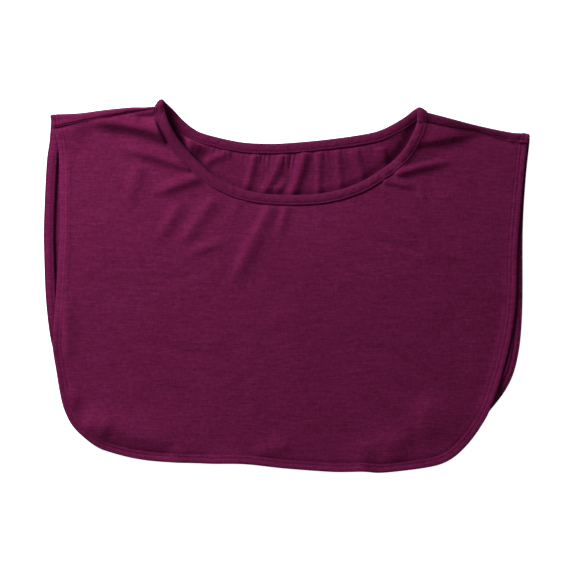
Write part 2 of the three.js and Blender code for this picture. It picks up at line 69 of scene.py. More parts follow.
# Hems
HEM_WIDTH = 9.0
HEM_STITCHES = (5.2, 8.2)  # the twin rows, from the outer edge
FOLD_RADIUS = LAYER / 2
FOLD_TURNS = (36, 72, 108, 144, 180)  # degrees, round the turned edge
FOLD_DISTANCES = (CLOTH / 2, 0.2, 0.0, -0.5, -1.0, -1.6)  # of the fold's rows, below 0 inside
GROOVE_DEPTH = 0.46
GROOVE_WIDTH = 0.6
PUCKER = 0.13  # small puckers across the hem
PUCKER_LENGTH = 9.0
PUCKER_SPAN = (0.4, 3.0, 8.6, 14.0)
WELT = 0.1  # the cloth swells between the twin rows
PADDING = 0.14  # and lies higher over the turned allowance
PADDING_SPAN = (0.5, 2.5, 8.8, 10.2)
HEM_ROWS = (9.0, 8.6, 8.2, 7.8, 7.0, 6.2, 5.6, 5.2, 4.8, 4.0, 2.8, 1.8)
HEM_START = CLOTH / 2 + FOLD_RADIUS  # where the fold starts, from the outer edge
RIM_ROWS = (*HEM_ROWS[1:], HEM_START)

# Shoulders
ROLL_RADIUS = 2.3
CREST = 3.0  # the cloth rises from the shoulder seams to the rolls
CREST_REACH = 10.0
RIGHT_CREST = 1.0  # how much more it rises on the right
RIGHT_CREST_SPAN = (100.0, 122.0, 150.0, 172.0)
ROLL_MID = 5.2
ALLOWANCE_ROWS = (0.3, 1.5, 3.0, 4.5, 6.0)  # of the seam allowance, from the seam to its raw edge
ALLOWANCE_ENDS = (4, 5)  # rows of the panel that it leaves free at the binding and at the hem
SEAM_SINK = 0.8  # the cloth dips into the shoulder seams
SEAM_SINK_REACH = 1.4
SEAM_DIP = (0.6, 1.6)  # how far below the left and the right seam it dips most
RIGHT_DIP_STARTS = (160.0, 200.0)
SEAM_STEP = 0.7  # it lies higher above the seams
SEAM_STEP_REACH = (-1.6, 0.8)
SEAM_FLAT = 0.4  # the left seam lies flatter round here
SEAM_FLAT_AT = -182.0
SEAM_FLAT_REACH = 13.0
PEAK_REACH = 26.0  # the neck stands up round the two shoulder peaks
PEAK_LIFT = 4.4
RIGHT_PEAK = 0.4  # the right peak's share of that lift
COLLAR = 6.5  # the neck edge stands up below the left peak
COLLAR_MIDDLE = 25.0
COLLAR_REACH = (13.0, 21.0)
BACK_PEAK_REACH = 17.0  # the back stands up there too
BACK_PEAK_LIFT = 5.6
BACK_FALL = 2.5  # the back slopes down from the left peak
BACK_FALL_REACH = (10.0, 64.0)

# Heights of the middle of the back
BACK_HEIGHT = 0.7
BACK_CLEAR = 2.5  # its folds start this far from the binding
BACK_NECK_RISE = 2.6
BACK_NECK_STARTS = (-112.0, -70.0)
BACK_NECK_SLOPE = 32.0
RIGHT_STAND = 1.8  # its neck edge stands up towards the right, and then falls to the peak
RIGHT_STAND_SPAN = (-20.0, 92.0, 92.0, 118.0)
BACK_LIFT = 1.8  # inside the neck it lies higher, and falls to the front's edge
BACK_LIFT_REACH = (5.0, 9.0)  # on the left and on the right
BACK_LIFT_WIDENS = (50.0, 100.0)
BACK_RIM_LIFT = 5.0  # its right edge stands up, but not at the lower corner
BACK_RIM_REACH = (1.0, 22.0)
BACK_RIM_STARTS = (120.0, 200.0)
BACK_RIM_CORNER = (-110.0, -78.0)
LEFT_RIM_LIFT = 1.6  # its left hem stands up
LEFT_RIM_REACH = (7.5, 10.5)
LEFT_RIM_STARTS = (170.0, 205.0)
LEFT_CURL = 2.4  # and its edge curls up where it goes under the front
LEFT_CURL_AT = -41.0
LEFT_CURL_LENGTH = 15.0
LEFT_CURL_REACH = 6.5
GATHER_HEIGHT = 0.28  # of the small pleats along its binding
GATHER_LENGTH = 5.5
GATHER_REACH = 7.0

# Heights of the middle of the front
FRONT_CLEAR = 3.0  # its folds start this far from the binding
FRONT_RUN_ON = (72.0, 98.0)  # from here on to the right they run on into the binding
UNEVENNESS = 0.12
UNEVEN_LENGTH = 36.0
RIM_HEIGHT = 5.2
SIDE_LIFT = 4.6  # it stands higher towards the shoulders
LOFT = 2.2  # and in the middle
NECK_DIP = 2.0  # and dips below the neck
NECK_DIP_CENTRE = (0.0, 86.0)
NECK_DIP_REACH = (92.0, 36.0)
HALF_WIDTH = 215.0
BOTTOM = -170.0
LENGTH = 335.0
LIFT_STARTS = 0.15  # share of the length, from the bottom
LIFT_ENDS = 0.7

# Mesh
FRONT_COLUMNS = 330
BACK_COLUMNS = 400
BODY_ROWS = 84
BODY_LENGTH = 250.0  # about, from the binding to the hem
ROW_CROWDING = 1.25
WRAP_COLUMNS = 9  # of each quarter turn over a shoulder roll
END_REACH = 0.25  # the columns bend with a panel's end line up to this share of the way round
SQUARE_FROM = 0.03  # and from this share on they meet the hem square
FINE_SHARES = (0.0007, 0.0015, 0.0024)  # extra columns beside a shoulder seam

# Stitches
THREAD_RADIUS = 0.23
HEM_PITCH = 2.9
BINDING_PITCH = 3.2
OVERLOCK_PITCH = 2.2
STITCH_SHARE = 0.43  # half a stitch's length, as a share of the pitch
STITCH_LEAN = 0.06
STITCH_SIDES = 6
HEM_SEAT = 0.26  # the rows of stitches stand this high in their grooves
BINDING_SEAT = 0.1
LOW_THREAD, HIGH_THREAD = 0.6, 1.2  # height of the crossing threads, in thread radii
THREAD_BOW = 0.1  # how far they bow out of the cloth

# Place along a stitch, height over the cloth and share of the radius.
STITCH_PROFILE = [
    (-1, -0.22, 0.5),
    (-0.82, 0.0, 0.9),
    (-0.4, 0.1, 1),
    (0.4, 0.1, 1),
    (0.82, 0.0, 0.9),
    (1, -0.22, 0.5),
]

# Knit, in metres
LOOP = {"Column": 0.78 * MM, "Row": 0.62 * MM}
RIB_PITCH = 1.45 * MM  # the ribs across the binding
HEM_RIB_PITCH = 2.15 * MM
CRIMP_ENDS = (8.2 * MM, 9.4 * MM)  # where the hem's ribs fade out, from the outer edge

# Colours
DARK_PLUM = (0.069, 0.0018, 0.0235)
LIGHT_PLUM = (0.143, 0.0102, 0.0610)
PAINTED_GLINT = (1.32, 1.9, 1.4)  # the lightest yarn flecks, lifted towards white against the light plum as painted glints
BINDING_PAINTED_SHADE = 0.86  # the binding's jersey is the panels' own, darkened by this as painted shade
DARK_THREAD = (0.085, 0.002, 0.033)
LIGHT_THREAD = (0.19, 0.009, 0.09)
FLOOR_GLOW = 0.9

# Free edge of the neck, left shoulder seam to right shoulder seam over the front: x, y, and the
# direction across the binding in degrees.
NECK_FRONT = [
    (-113.6, 170.8, -133.5),
    (-112.3, 165.5, -152),
    (-111.0, 158.4, -170),
    (-104.1, 142.7, -150),
    (-89.3, 123.3, -137),
    (-63.0, 99.4, -122),
    (-32.8, 87.6, -104),
    (-1.4, 84.5, -91),
    (34.4, 86.1, -81),
    (66.1, 95.2, -66),
    (92.8, 111.6, -54),
    (106.8, 124.6, -39),
    (116.4, 140.8, -20),
    (120.2, 151.3, -3),
]

# Free edge of the neck over the back, in the same columns.
NECK_BACK = [
    (-111.3, 169.7, -134),
    (-105.0, 163.7, -135),
    (-95.7, 153.8, -129),
    (-86.5, 146.4, -119),
    (-77.2, 141.8, -110),
    (-58.7, 136.9, -102),
    (-40.2, 133.4, -96),
    (-21.7, 132.3, -91),
    (-3.2, 132.5, -88),
    (33.8, 135.6, -85),
    (70.8, 140.6, -79),
    (89.3, 145.5, -70),
    (107.8, 155.6, -58),
    (116.8, 162.6, -46),
]

# Outer edge of the front panel, left shoulder to right shoulder: x, y.
HEM_FRONT = [
    (-216.9, 147.0),
    (-212.9, 139.0),
    (-210.7, 119.6),
    (-210.0, 56.0),
    (-212.5, 13.0),
    (-216.0, -40.5),
    (-216.4, -58.0),
    (-213.2, -79.3),
    (-209.5, -101.5),
    (-205.3, -116.5),
    (-197.0, -131.5),
    (-180.2, -146.4),
    (-163.5, -153.9),
    (-129.0, -161.3),
    (-77.0, -164.1),
    (-40.0, -164.6),
    (-3.1, -168.7),
    (43.0, -171.9),
    (70.8, -171.6),
    (90.2, -172.7),
    (130.2, -167.8),
    (148.8, -162.2),
    (163.6, -150.8),
    (178.1, -132.5),
    (190.1, -109.8),
    (203.5, -67.0),
    (211.5, -22.0),
    (213.5, 33.5),
    (217.3, 80.7),
    (222.5, 129.7),
    (223.2, 133.0),
]

# Outer edge of the back panel: x, y.
HEM_BACK = [
    (-218.4, 154.4),
    (-219.7, 135.3),
    (-222.5, 113.1),
    (-224.9, 61.3),
    (-224.9, 33.5),
    (-223.1, -12.7),
    (-218.8, -47.9),
    (-213.0, -70.0),
    (-203.0, -108.0),
    (-177.0, -141.0),
    (-128.0, -156.5),
    (-77.0, -159.8),
    (-3.0, -164.0),
    (43.0, -167.8),
    (90.0, -168.6),
    (129.0, -163.6),
    (157.0, -149.5),
    (183.2, -121.9),
    (204.0, -94.1),
    (214.1, -64.5),
    (218.1, -22.0),
    (218.6, 52.0),
    (221.2, 98.3),
    (224.6, 131.0),
    (225.1, 135.6),
]

# Shoulder seams, from the binding out to the hem: x, y.
SEAM_LEFT = [
    (-120.1, 164.0),
    (-143.8, 160.8),
    (-152.0, 159.1),
    (-171.2, 155.4),
    (-191.0, 151.4),
    (-209.0, 147.4),
    (-216.9, 145.9),
]
SEAM_RIGHT = [
    (129.6, 150.8),
    (150.2, 146.5),
    (166.0, 144.3),
    (176.8, 144.0),
    (187.3, 141.2),
    (198.0, 136.6),
    (208.6, 133.9),
    (223.2, 133.0),
]

# Silhouettes of the shoulder rolls, from the binding out to the hem: x, y.
ROLL_LEFT = [
    (-120.4, 165.6),
    (-130.9, 165.0),
    (-143.8, 165.1),
    (-166.0, 163.0),
    (-191.0, 159.9),
    (-209.5, 159.0),
    (-218.3, 158.4),
]
ROLL_RIGHT = [
    (129.5, 160.3),
    (150.2, 155.0),
    (171.4, 149.7),
    (192.7, 144.9),
    (208.6, 141.9),
    (216.9, 141.2),
    (225.1, 139.6),
]
PEAK_LEFT = (-113.9, 172.5)
PEAK_RIGHT = (120.2, 164.7)

# Folds: start x, y, end x, y, sideways bow of the middle, half width on the left and on the right
# of that direction, height (below 0 for a valley), and the shares of the length over which it
# swells and dies away.
FRONT_FOLDS = [
    (-196.6, 153.4, -108.7, 139, 3.9, 11, 6.2, 7, 0.36, 0.04),
    (-139.2, 155.4, -117, 156, 0, 3, 5, -2.2, 0.3, 0.1),
    (-216.9, 146.4, -179.9, 152.4, 0, 5, 17, 3.4, 0.05, 0.5),
    (-215.1, 145.5, -185.5, 149.6, 0, 1.8, 1.8, -0.8, 0.1, 0.6),
    (-161.4, 131.6, -86.5, 108.9, 0, 5.4, 4.4, 3.6, 0.4, 0.05),
    (-132.7, 129.7, -94.8, 118.6, 0, 2.2, 1.8, 0.9, 0.4, 0.1),
    (-77.2, 102, -130, 83.5, 0, 5.2, 6, 3, 0.03, 0.5),
    (-65.2, 82.6, -101.3, 32.6, -1, 7, 5, 1.9, 0.12, 0.4),
    (-94.8, 81.6, -127.2, 33.5, 1, 6.5, 5, 1.8, 0.3, 0.5),
    (-51.3, 42.3, -97.6, 27.1, -1, 4.2, 4.2, 1.4, 0.4, 0.4),
    (-41.2, 81.6, -53.2, 60.4, 0, 4, 4, 0.8, 0.3, 0.5),
    (-80, 9, -120.7, 4.9, 0, 3.6, 3.6, -0.8, 0.4, 0.4),
    (-134.6, 118.6, -147.5, 66.8, 0, 6.5, 6.5, 1.5, 0.35, 0.45),
    (-14.3, 75.2, -56.9, -9, 0, 8.5, 4.8, 2.3, 0.01, 0.42),
    (0.5, 75.2, -9.7, 39.1, 0, 5, 3.8, 1.5, 0.02, 0.6),
    (46.7, 77.9, 59.7, 76.5, 0, 1.5, 1.5, -0.5, 0.3, 0.3),
    (60.6, 46.5, 134.6, 28, 1.5, 3, 3, -1.1, 0.5, 0.25),
    (103.1, 128.3, 182.7, 143.4, 0.6, 45, 5, 5.4, 0.06, 0.42),
    (99.4, 120.5, 149.4, 126, 0, 5, 14, 3.8, 0.1, 0.7),
    (176.2, 142.9, 208.6, 134, 0, 1.8, 1.8, -1.2, 0.2, 0.2),
    (99.4, 103.1, 160.5, 116.8, 1.4, 3.2, 3.8, 2.8, 0.03, 0.45),
    (89.3, 97.9, 123.5, 90.3, 0, 3.4, 3, 2.8, 0.04, 0.5),
    (121.6, 95.5, 129, 76.1, 0, 1.8, 1.8, 0.6, 0.3, 0.4),
    (132.7, 88.1, 173.4, 68.7, 0, 3.6, 3.6, 0.8, 0.4, 0.5),
    (-155.9, -47.9, -37.5, -71.9, 0, 2.8, 2.8, -0.8, 0.3, 0.4),
    (-135.5, -92.7, -74.5, -101.5, 0, 2.6, 2.6, -0.6, 0.3, 0.4),
    (-30.1, -73.8, -71.7, -98.7, 0, 3.6, 3.6, 0.6, 0.4, 0.4),
    (60.6, -56.7, 99.4, -60.8, 0, 2.4, 2.4, -0.6, 0.4, 0.4),
    (-181.8, -130.2, -85.6, -148.7, 1.5, 14, 10.5, 3.5, 0.25, 0.42),
    (-191, -122.8, -157.7, -133, 0, 10, 10, 4.2, 0.35, 0.4),
    (-98.5, -140.4, -96.7, -179.2, 0, 14, 6, 1.5, 0.35, 0.05),
    (-110.5, -161.6, -94.8, -148.7, 0, 5, 8, 1, 0.3, 0.3),
    (-31.9, -154.2, 5.1, -145, 0, 6, 6.5, 1.7, 0.35, 0.2),
    (-204.9, -5.3, -201.7, -73.8, 0, 7.5, 4, 2.2, 0.3, 0.3),
    (-201.2, 127.9, -204.4, -5.3, 0, 3.4, 2.6, 0.7, 0.1, 0.1),
    (-203, -90.4, -194.7, -117.2, 0, 6.5, 4, 2.1, 0.4, 0.4),
    (136.4, -97.8, 128.1, -145.9, 0, 30, 13, 3, 0.35, 0.4),
    (68, -145.9, 117.9, -139.4, 0, 9, 12, 1.1, 0.4, 0.12),
    (69.8, -140.4, 71.7, -179.2, 0, 9, 10, 1.9, 0.35, 0.05),
    (97.6, -134.8, 101.3, -166.3, 0, 11, 15, 1.7, 0.35, 0.3),
    (55, -120.9, 86.5, -124.6, 0, 3, 3, -0.6, 0.4, 0.4),
]
BACK_FOLDS = [
    (-89.3, 145.5, -88.3, 113.1, 0, 13, 4.2, 7.4, 0.1, 0.6),
    (-51.3, 125.6, -77.2, 114, 0, 4.4, 3.2, 1.8, 0.1, 0.15),
    (-28.2, 124.2, -38.4, 86.3, 0, 4.2, 3.2, 1.6, 0.03, 0.2),
    (-2.3, 124.2, -25.4, 81.6, 2, 5, 4.2, 1.9, 0.03, 0.2),
    (-22.4, 125.1, -23.6, 110.3, 0, 1.1, 1.1, -0.7, 0.03, 0.5),
    (-18.5, 125.1, -19.9, 113.1, 0, 1.1, 1.1, -0.6, 0.03, 0.5),
    (-0.9, 125.1, -3.2, 107.5, 0, 1.2, 1.2, -0.8, 0.03, 0.5),
    (4.6, 125.1, 2.3, 103.8, 0, 1.2, 1.2, -0.9, 0.03, 0.5),
    (9.2, 125.1, 6.9, 109.4, 0, 1.2, 1.2, -0.7, 0.03, 0.5),
    (17.1, 125.1, 1.4, 77.9, 1.5, 5.2, 4.2, 2.7, 0.03, 0.2),
    (0.9, 97.8, -11.1, 87.2, 0, 2.6, 2.6, 1.4, 0.3, 0.1),
    (30.5, 126, 29.1, 77.9, 0, 3.6, 3, 1.3, 0.05, 0.2),
    (46.7, 127, 50.9, 81.6, 0, 4.2, 3.6, 1.3, 0.05, 0.3),
    (62.9, 127.9, 73.5, 90.9, 0, 4.2, 4.4, 1.3, 0.05, 0.3),
    (88.3, 129.7, 93.9, 100.1, 0, 3.6, 7, 1.6, 0.1, 0.2),
]

# How the front's outer edge stands up or hangs down: share of the way round it from the left
# shoulder to the right, height, and how far in from the edge the slope reaches.
HEM_TURN = [
    (0, -1, 9),
    (0.04, -2.6, 9.5),
    (0.12, -2.8, 9.5),
    (0.17, -2.2, 9.5),
    (0.2, 0.8, 9),
    (0.27, 0.4, 9),
    (0.31, -1.4, 9),
    (0.345, 0.3, 9),
    (0.37, 1.5, 9),
    (0.39, 2.2, 9),
    (0.402, 3.0, 9),
    (0.415, 1.4, 9),
    (0.428, 1.6, 10),
    (0.443, 3.8, 13),
    (0.462, 3.8, 13),
    (0.48, 1.9, 9),
    (0.5, 1.0, 9),
    (0.53, 1.5, 9),
    (0.565, 2.0, 9),
    (0.59, 1.7, 9),
    (0.61, 1.2, 9),
    (0.64, 1.8, 9),
    (0.69, 1.6, 12),
    (0.75, 3.6, 14),
    (0.83, 3.2, 14),
    (0.9, 1.5, 13),
    (1, 0.6, 10),
]

# Section of the binding: distance in from the free edge, and height over the panel's middle.
BINDING_SECTION = [
    (9.2, 0.75),
    (9.45, 1.05),
    (9.3, 1.5),
    (8.8, 1.75),
    (8.3, 1.7),
    (7.9, 1.48),
    (BINDING_STITCH, BINDING_GROOVE),
    (7.5, 1.48),
    (7.0, 1.8),
    (6.0, 2.05),
    (4.6, 2.12),
    (3.2, 2.05),
    (1.9, 1.8),
    (0.9, 1.3),
    (0.25, 0.65),
]
BINDING_SLOT = [(1.9, 0.35), (2.6, 0.72), (5.0, 0.75), (7.4, 0.75)]


def smoothstep(x, low, high):
    share = np.clip((x - low) / (high - low), 0, 1)
    return share * share * (3 - 2 * share)


def fade(x, start, end):
    """1 up to start and 0 from end on."""
    return 1 - smoothstep(x, start, end)


def span(x, start, full, fading, end):
    """0 up to start, 1 from full to fading, and 0 again from end on."""
    return smoothstep(x, start, full) * fade(x, fading, end)


def bell(away, reach):
    """1 in the middle, dying away on both sides."""
    return np.exp(-((away / reach) ** 2))


def mixed(a, b, share):
    return a + (b - a) * share


def unit(vectors):
    return vectors / np.maximum(np.linalg.norm(vectors, axis=-1, keepdims=True), 1e-9)


class Rail:
    """A smooth line through a table's points, read by the share of its length."""

    def __init__(self, rows):
        table = np.array([row[:2] for row in rows], float)
        last = len(table) - 1
        place = np.linspace(0, last, 2400)
        i = np.minimum(place.astype(int), last - 1)
        w = (place - i)[:, None]
        before, here = table[np.maximum(i - 1, 0)], table[i]
        there, after = table[i + 1], table[np.minimum(i + 2, last)]
        leave, arrive = (there - before) / 2, (after - here) / 2
        self.line = (
            (2 * here - 2 * there + leave + arrive) * w**3
            + (3 * there - 3 * here - 2 * leave - arrive) * w**2
            + leave * w
            + here
        )
        steps = np.linalg.norm(np.diff(self.line, axis=0), axis=1)
        self.way = np.concatenate([[0], np.cumsum(steps)])
        self.length = self.way[-1]
        if len(rows[0]) > 2:
            self.lean = np.interp(place, np.arange(last + 1), [row[2] for row in rows])

    def read(self, share, values):
        return np.interp(np.clip(share, 0, 1) * self.length, self.way, values)

    def point(self, share):
        return np.stack([self.read(share, self.line[:, k]) for k in (0, 1)], -1)

    def across(self, share):
        angle = np.radians(self.read(share, self.lean))
        return np.stack([np.cos(angle), np.sin(angle)], -1)

    def leftward(self, share):
        step = 1e-3
        along = unit(self.point(share + step) - self.point(share - step))
        return np.stack([-along[..., 1], along[..., 0]], -1)


neck_front, neck_back = Rail(NECK_FRONT), Rail(NECK_BACK)
hem_front, hem_back = Rail(HEM_FRONT), Rail(HEM_BACK)
seam_left, seam_right = Rail(SEAM_LEFT), Rail(SEAM_RIGHT)
roll_left, roll_right = Rail(ROLL_LEFT), Rail(ROLL_RIGHT)


def nearest_on(line, x, y):
    """Shortest distance from each place to a run of points, and the share of the run there."""
    nearest = np.full(np.shape(x), np.inf)
    place = np.zeros(np.shape(x))
    for i, ((ax, ay), (bx, by)) in enumerate(zip(line[:-1], line[1:])):
        dx, dy = bx - ax, by - ay
        share = np.clip(((x - ax) * dx + (y - ay) * dy) / (dx * dx + dy * dy), 0, 1)
        away = np.hypot(x - ax - share * dx, y - ay - share * dy)
        closer = away < nearest
        nearest = np.where(closer, away, nearest)
        place = np.where(closer, (i + share) / (len(line) - 1), place)
    return nearest, place


def distance_to(line, x, y):
    return nearest_on(line, x, y)[0]


def nearest_of(lines, x, y):
    """Shortest distance from each place to either of two lines."""
    return np.minimum(*(distance_to(line, x, y) for line in lines))


def folds_at(table, x, y):
    """The height that a table of folds gives each place."""
    height = np.zeros(np.shape(x))
    for x0, y0, x1, y1, bend, left, right, tall, rise, fall in table:
        length = math.hypot(x1 - x0, y1 - y0)
        ax, ay = (x1 - x0) / length, (y1 - y0) / length
        share = np.clip(((x - x0) * ax + (y - y0) * ay) / length, 0, 1)
        aside = (y - y0) * ax - (x - x0) * ay - bend * 4 * share * (1 - share)
        wide = np.where(aside > 0, left, right)
        height += tall * span(share, 0, rise, 1 - fall, 1) * bell(aside, wide)
    return height


def waver(way, wavelength, seed):
    """An uneven ripple along a way, from about -1 to 1."""
    draw = np.random.default_rng(seed)
    total = np.zeros(np.shape(way))
    for _ in range(7):
        long = wavelength * draw.uniform(0.55, 1.9)
        total += np.sin(way * 2 * math.pi / long + draw.uniform(0, 2 * math.pi))
    return total / 3.2


def unevenness(x, y, wavelength, seed):
    """Soft swells in every direction, from about -1 to 1."""
    draw = np.random.default_rng(seed)
    total = np.zeros(np.shape(x))
    for _ in range(16):
        angle = draw.uniform(0, math.pi)
        long = wavelength * draw.uniform(0.6, 1.8)
        way = x * math.cos(angle) + y * math.sin(angle)
        total += np.sin(way * 2 * math.pi / long + draw.uniform(0, 2 * math.pi))
    return total / 5


ROLL_LINES = [
    np.vstack([[PEAK_LEFT], roll_left.point(np.linspace(0, 1, 41))]),
    np.vstack([[PEAK_RIGHT], roll_right.point(np.linspace(0, 1, 41))]),
]
SEAM_LINES = [seam_left.point(np.linspace(0, 1, 41)), seam_right.point(np.linspace(0, 1, 41))]
SEAM_HEIGHTS = np.concatenate([SEAM_LINES[0][::-1], SEAM_LINES[1]]).T
DIP_LINES = [line.copy() for line in SEAM_LINES]  # the cloth dips just below the seams
DIP_LINES[0][:, 1] -= SEAM_DIP[0]
DIP_LINES[1][:, 1] -= SEAM_DIP[1] * smoothstep(SEAM_LINES[1][:, 0], *RIGHT_DIP_STARTS)
FRONT_NECK_LINE = neck_front.point(np.linspace(0, 1, 81))
BACK_NECK_LINE = neck_back.point(np.linspace(0, 1, 81))
FRONT_HEM_LINE = hem_front.point(np.linspace(0, 1, 121))
BACK_HEM_LINE = hem_back.point(np.linspace(0, 1, 81))


def peak_rise(x, y, lift, reach):
    """How much higher the cloth stands round the two shoulder peaks."""
    left, right = (bell(np.hypot(x - px, y - py), reach) for px, py in (PEAK_LEFT, PEAK_RIGHT))
    return lift * (left + RIGHT_PEAK * right)


def off_left_peak(x, y):
    return np.hypot(x - PEAK_LEFT[0], y - PEAK_LEFT[1])


def off_roll(x, y):
    """0 on the silhouette of a shoulder roll, 1 where the cloth has come off it."""
    left = 1 - np.clip(nearest_of(ROLL_LINES, x, y) / ROLL_RADIUS, 0, 1)
    return np.sqrt(1 - left * left)


def upper(x, y):
    """Middle of the front panel, and of the back panel between its seams and the silhouette."""
    across = x / HALF_WIDTH
    up = (y - BOTTOM) / LENGTH
    side = SIDE_LIFT * smoothstep(up, LIFT_STARTS, LIFT_ENDS)
    loft = LOFT * np.maximum(0, 1 - across**2) * np.sin(math.pi * np.clip(up, 0, 1))
    dip_x = (x - NECK_DIP_CENTRE[0]) / NECK_DIP_REACH[0]
    dip_y = (y - NECK_DIP_CENTRE[1]) / NECK_DIP_REACH[1]
    dip = NECK_DIP * np.exp(-(dip_x**2) - dip_y**2)
    off_neck = distance_to(FRONT_NECK_LINE, x, y)
    clear = smoothstep(off_neck, BINDING_WIDTH, BINDING_WIDTH + FRONT_CLEAR)
    clear = mixed(clear, 1, smoothstep(x, *FRONT_RUN_ON))
    relief = folds_at(FRONT_FOLDS, x, y) + UNEVENNESS * unevenness(x, y, UNEVEN_LENGTH, seed=3)
    sink = SEAM_SINK * bell(nearest_of(DIP_LINES, x, y), SEAM_SINK_REACH)
    step = SEAM_STEP * smoothstep(y - np.interp(x, *SEAM_HEIGHTS), *SEAM_STEP_REACH)
    flat = 1 - SEAM_FLAT * bell(x - SEAM_FLAT_AT, SEAM_FLAT_REACH)
    height = RIM_HEIGHT + side + loft - dip + clear * (relief + flat * (step - sink))
    distance, place = nearest_on(FRONT_HEM_LINE, x, y)
    shares, turns, reaches = zip(*HEM_TURN)
    turn = np.interp(place, shares, turns)
    turn *= fade(distance / np.interp(place, shares, reaches), 0, 1)
    peak = peak_rise(x, y, PEAK_LIFT, PEAK_REACH)
    collar = bell(off_left_peak(x, y) - COLLAR_MIDDLE, COLLAR_REACH[1])
    peak += COLLAR * collar * bell(off_neck, COLLAR_REACH[0])
    height += peak + turn * off_roll(x, y)
    crest = CREST + RIGHT_CREST * span(x, *RIGHT_CREST_SPAN)
    height += crest * fade(nearest_of(ROLL_LINES, x, y), 0, CREST_REACH)
    return mixed(ROLL_MID + peak, height, off_roll(x, y))


def gathers(x, y):
    """Small pleats where the back is eased into its binding."""
    distance, place = nearest_on(BACK_NECK_LINE, x, y)
    pleats = waver(place * neck_back.length, GATHER_LENGTH, seed=8)
    return GATHER_HEIGHT * pleats * np.exp(-np.maximum(0, distance - BINDING_WIDTH) / GATHER_REACH)


def lower(x, y):
    """Middle of the back panel."""
    away = distance_to(BACK_NECK_LINE, x, y) - BINDING_WIDTH
    stands = BACK_NECK_RISE * smoothstep(x, *BACK_NECK_STARTS)
    stands += RIGHT_STAND * span(x, *RIGHT_STAND_SPAN)
    rise = stands * fade(away, 0, BACK_NECK_SLOPE)
    clear = smoothstep(away, 0, BACK_CLEAR)
    height = BACK_HEIGHT + rise + clear * (folds_at(BACK_FOLDS, x, y) + gathers(x, y))
    height += peak_rise(x, y, BACK_PEAK_LIFT, BACK_PEAK_REACH)
    inside = y - np.interp(x, FRONT_NECK_LINE[:, 0], FRONT_NECK_LINE[:, 1], -1e3, -1e3)
    off_front = np.where(inside > 0, 1, -1) * distance_to(FRONT_NECK_LINE, x, y)
    reach = mixed(*BACK_LIFT_REACH, smoothstep(x, *BACK_LIFT_WIDENS))
    height += BACK_LIFT * smoothstep(off_front / reach, 0, 1)
    height += BACK_FALL * fade(off_left_peak(x, y), *BACK_FALL_REACH)
    off_hem = distance_to(BACK_HEM_LINE, x, y)
    right = smoothstep(x, *BACK_RIM_STARTS) * smoothstep(y, *BACK_RIM_CORNER)
    height += BACK_RIM_LIFT * fade(off_hem, *BACK_RIM_REACH) * right
    left = smoothstep(-x, *LEFT_RIM_STARTS)
    height += LEFT_RIM_LIFT * fade(off_hem, *LEFT_RIM_REACH) * left
    curl = LEFT_CURL * bell(y - LEFT_CURL_AT, LEFT_CURL_LENGTH)
    height += curl * fade(off_hem, 0, LEFT_CURL_REACH) * left
    crest = ROLL_MID + peak_rise(x, y, PEAK_LIFT, PEAK_REACH)
    return mixed(crest, height, off_roll(x, y))


def on_layer(places, layer):
    return np.concatenate([places, layer(places[..., 0], places[..., 1])[..., None]], -1)


class EndLine:
    """The line that ends a panel, from the binding to the hem."""

    def __init__(self, rail, drop=0.0):
        self.rail = rail
        self.drop = np.array([0.0, drop])
        self.body_share = 1 - HEM_WIDTH / rail.length

    def point(self, share):
        return self.rail.point(share) - self.drop

    def body(self, share):
        return self.point(share * self.body_share)

    def rim(self, distance):
        return self.point(1 - distance / self.rail.length)

    def inward(self):
        return unit(self.point(self.body_share) - self.point(1.0))


def panel_shares(columns):
    """Shares of the way round a panel, finer beside its two ends."""
    even = np.linspace(0, 1, columns + 1)
    fine = np.array(FINE_SHARES)
    return np.sort(np.concatenate([even, fine, 1 - fine]))


def body_shares():
    """Shares down the body, from just under the binding to the hem."""
    first = BINDING_CLEAR / BODY_LENGTH
    return first + (1 - first) * np.linspace(0, 1, BODY_ROWS) ** ROW_CROWDING


def panel_plan(shares, neck_rail, hem_rail, left, right):
    """The panel seen from above: its columns run from the free neck edge to the fold of the hem.
    The first two rows are the free neck edge and the binding's seam."""
    neck = neck_rail.point(shares)
    seam = neck + neck_rail.across(shares) * BINDING_WIDTH
    hem = hem_rail.point(shares)
    from_end = np.minimum(shares, 1 - shares)
    first_half = (shares < 0.5)[:, None]
    end_inward = np.where(first_half, left.inward(), right.inward())
    square = smoothstep(from_end, 0, SQUARE_FROM)[:, None]
    inward = unit(mixed(end_inward, hem_rail.leftward(shares), square))
    inner = hem + inward * HEM_WIDTH
    down = body_shares()
    bows = [
        end.body(down) - mixed(end.body(0.0), end.body(1.0), down[:, None]) for end in (left, right)
    ]
    near = fade(from_end, 0, END_REACH)[:, None, None]
    bow = np.where(first_half[..., None], bows[0][None], bows[1][None]) * near
    body = mixed(seam[:, None], inner[:, None], down[None, :, None]) + bow
    rim = hem[:, None] + inward[:, None] * np.array(RIM_ROWS)[None, :, None]
    return np.concatenate([neck[:, None], seam[:, None], body, rim], 1)


def roll_column(end, peak):
    """The column of a panel that runs along the silhouette of a shoulder roll."""
    rim = end.rim(np.array(RIM_ROWS))
    places = np.vstack([[peak], [end.point(0.0)], end.body(body_shares()), rim])
    return np.column_stack([places, np.full(len(places), ROLL_MID)])


def ditched(columns):
    """The columns with their body rows sunk beside the binding. On the right they swell."""
    away = np.linalg.norm(columns[:, 2:] - columns[:, 1:2], axis=-1)
    right = smoothstep(columns[:, 2:, 0], *RIGHT_SWELL_STARTS)
    depth = mixed(DITCH, -RIGHT_SWELL, right)
    columns[:, 2:, 2] -= depth * bell(away, mixed(DITCH_REACH, RIGHT_SWELL_REACH, right))
    return columns


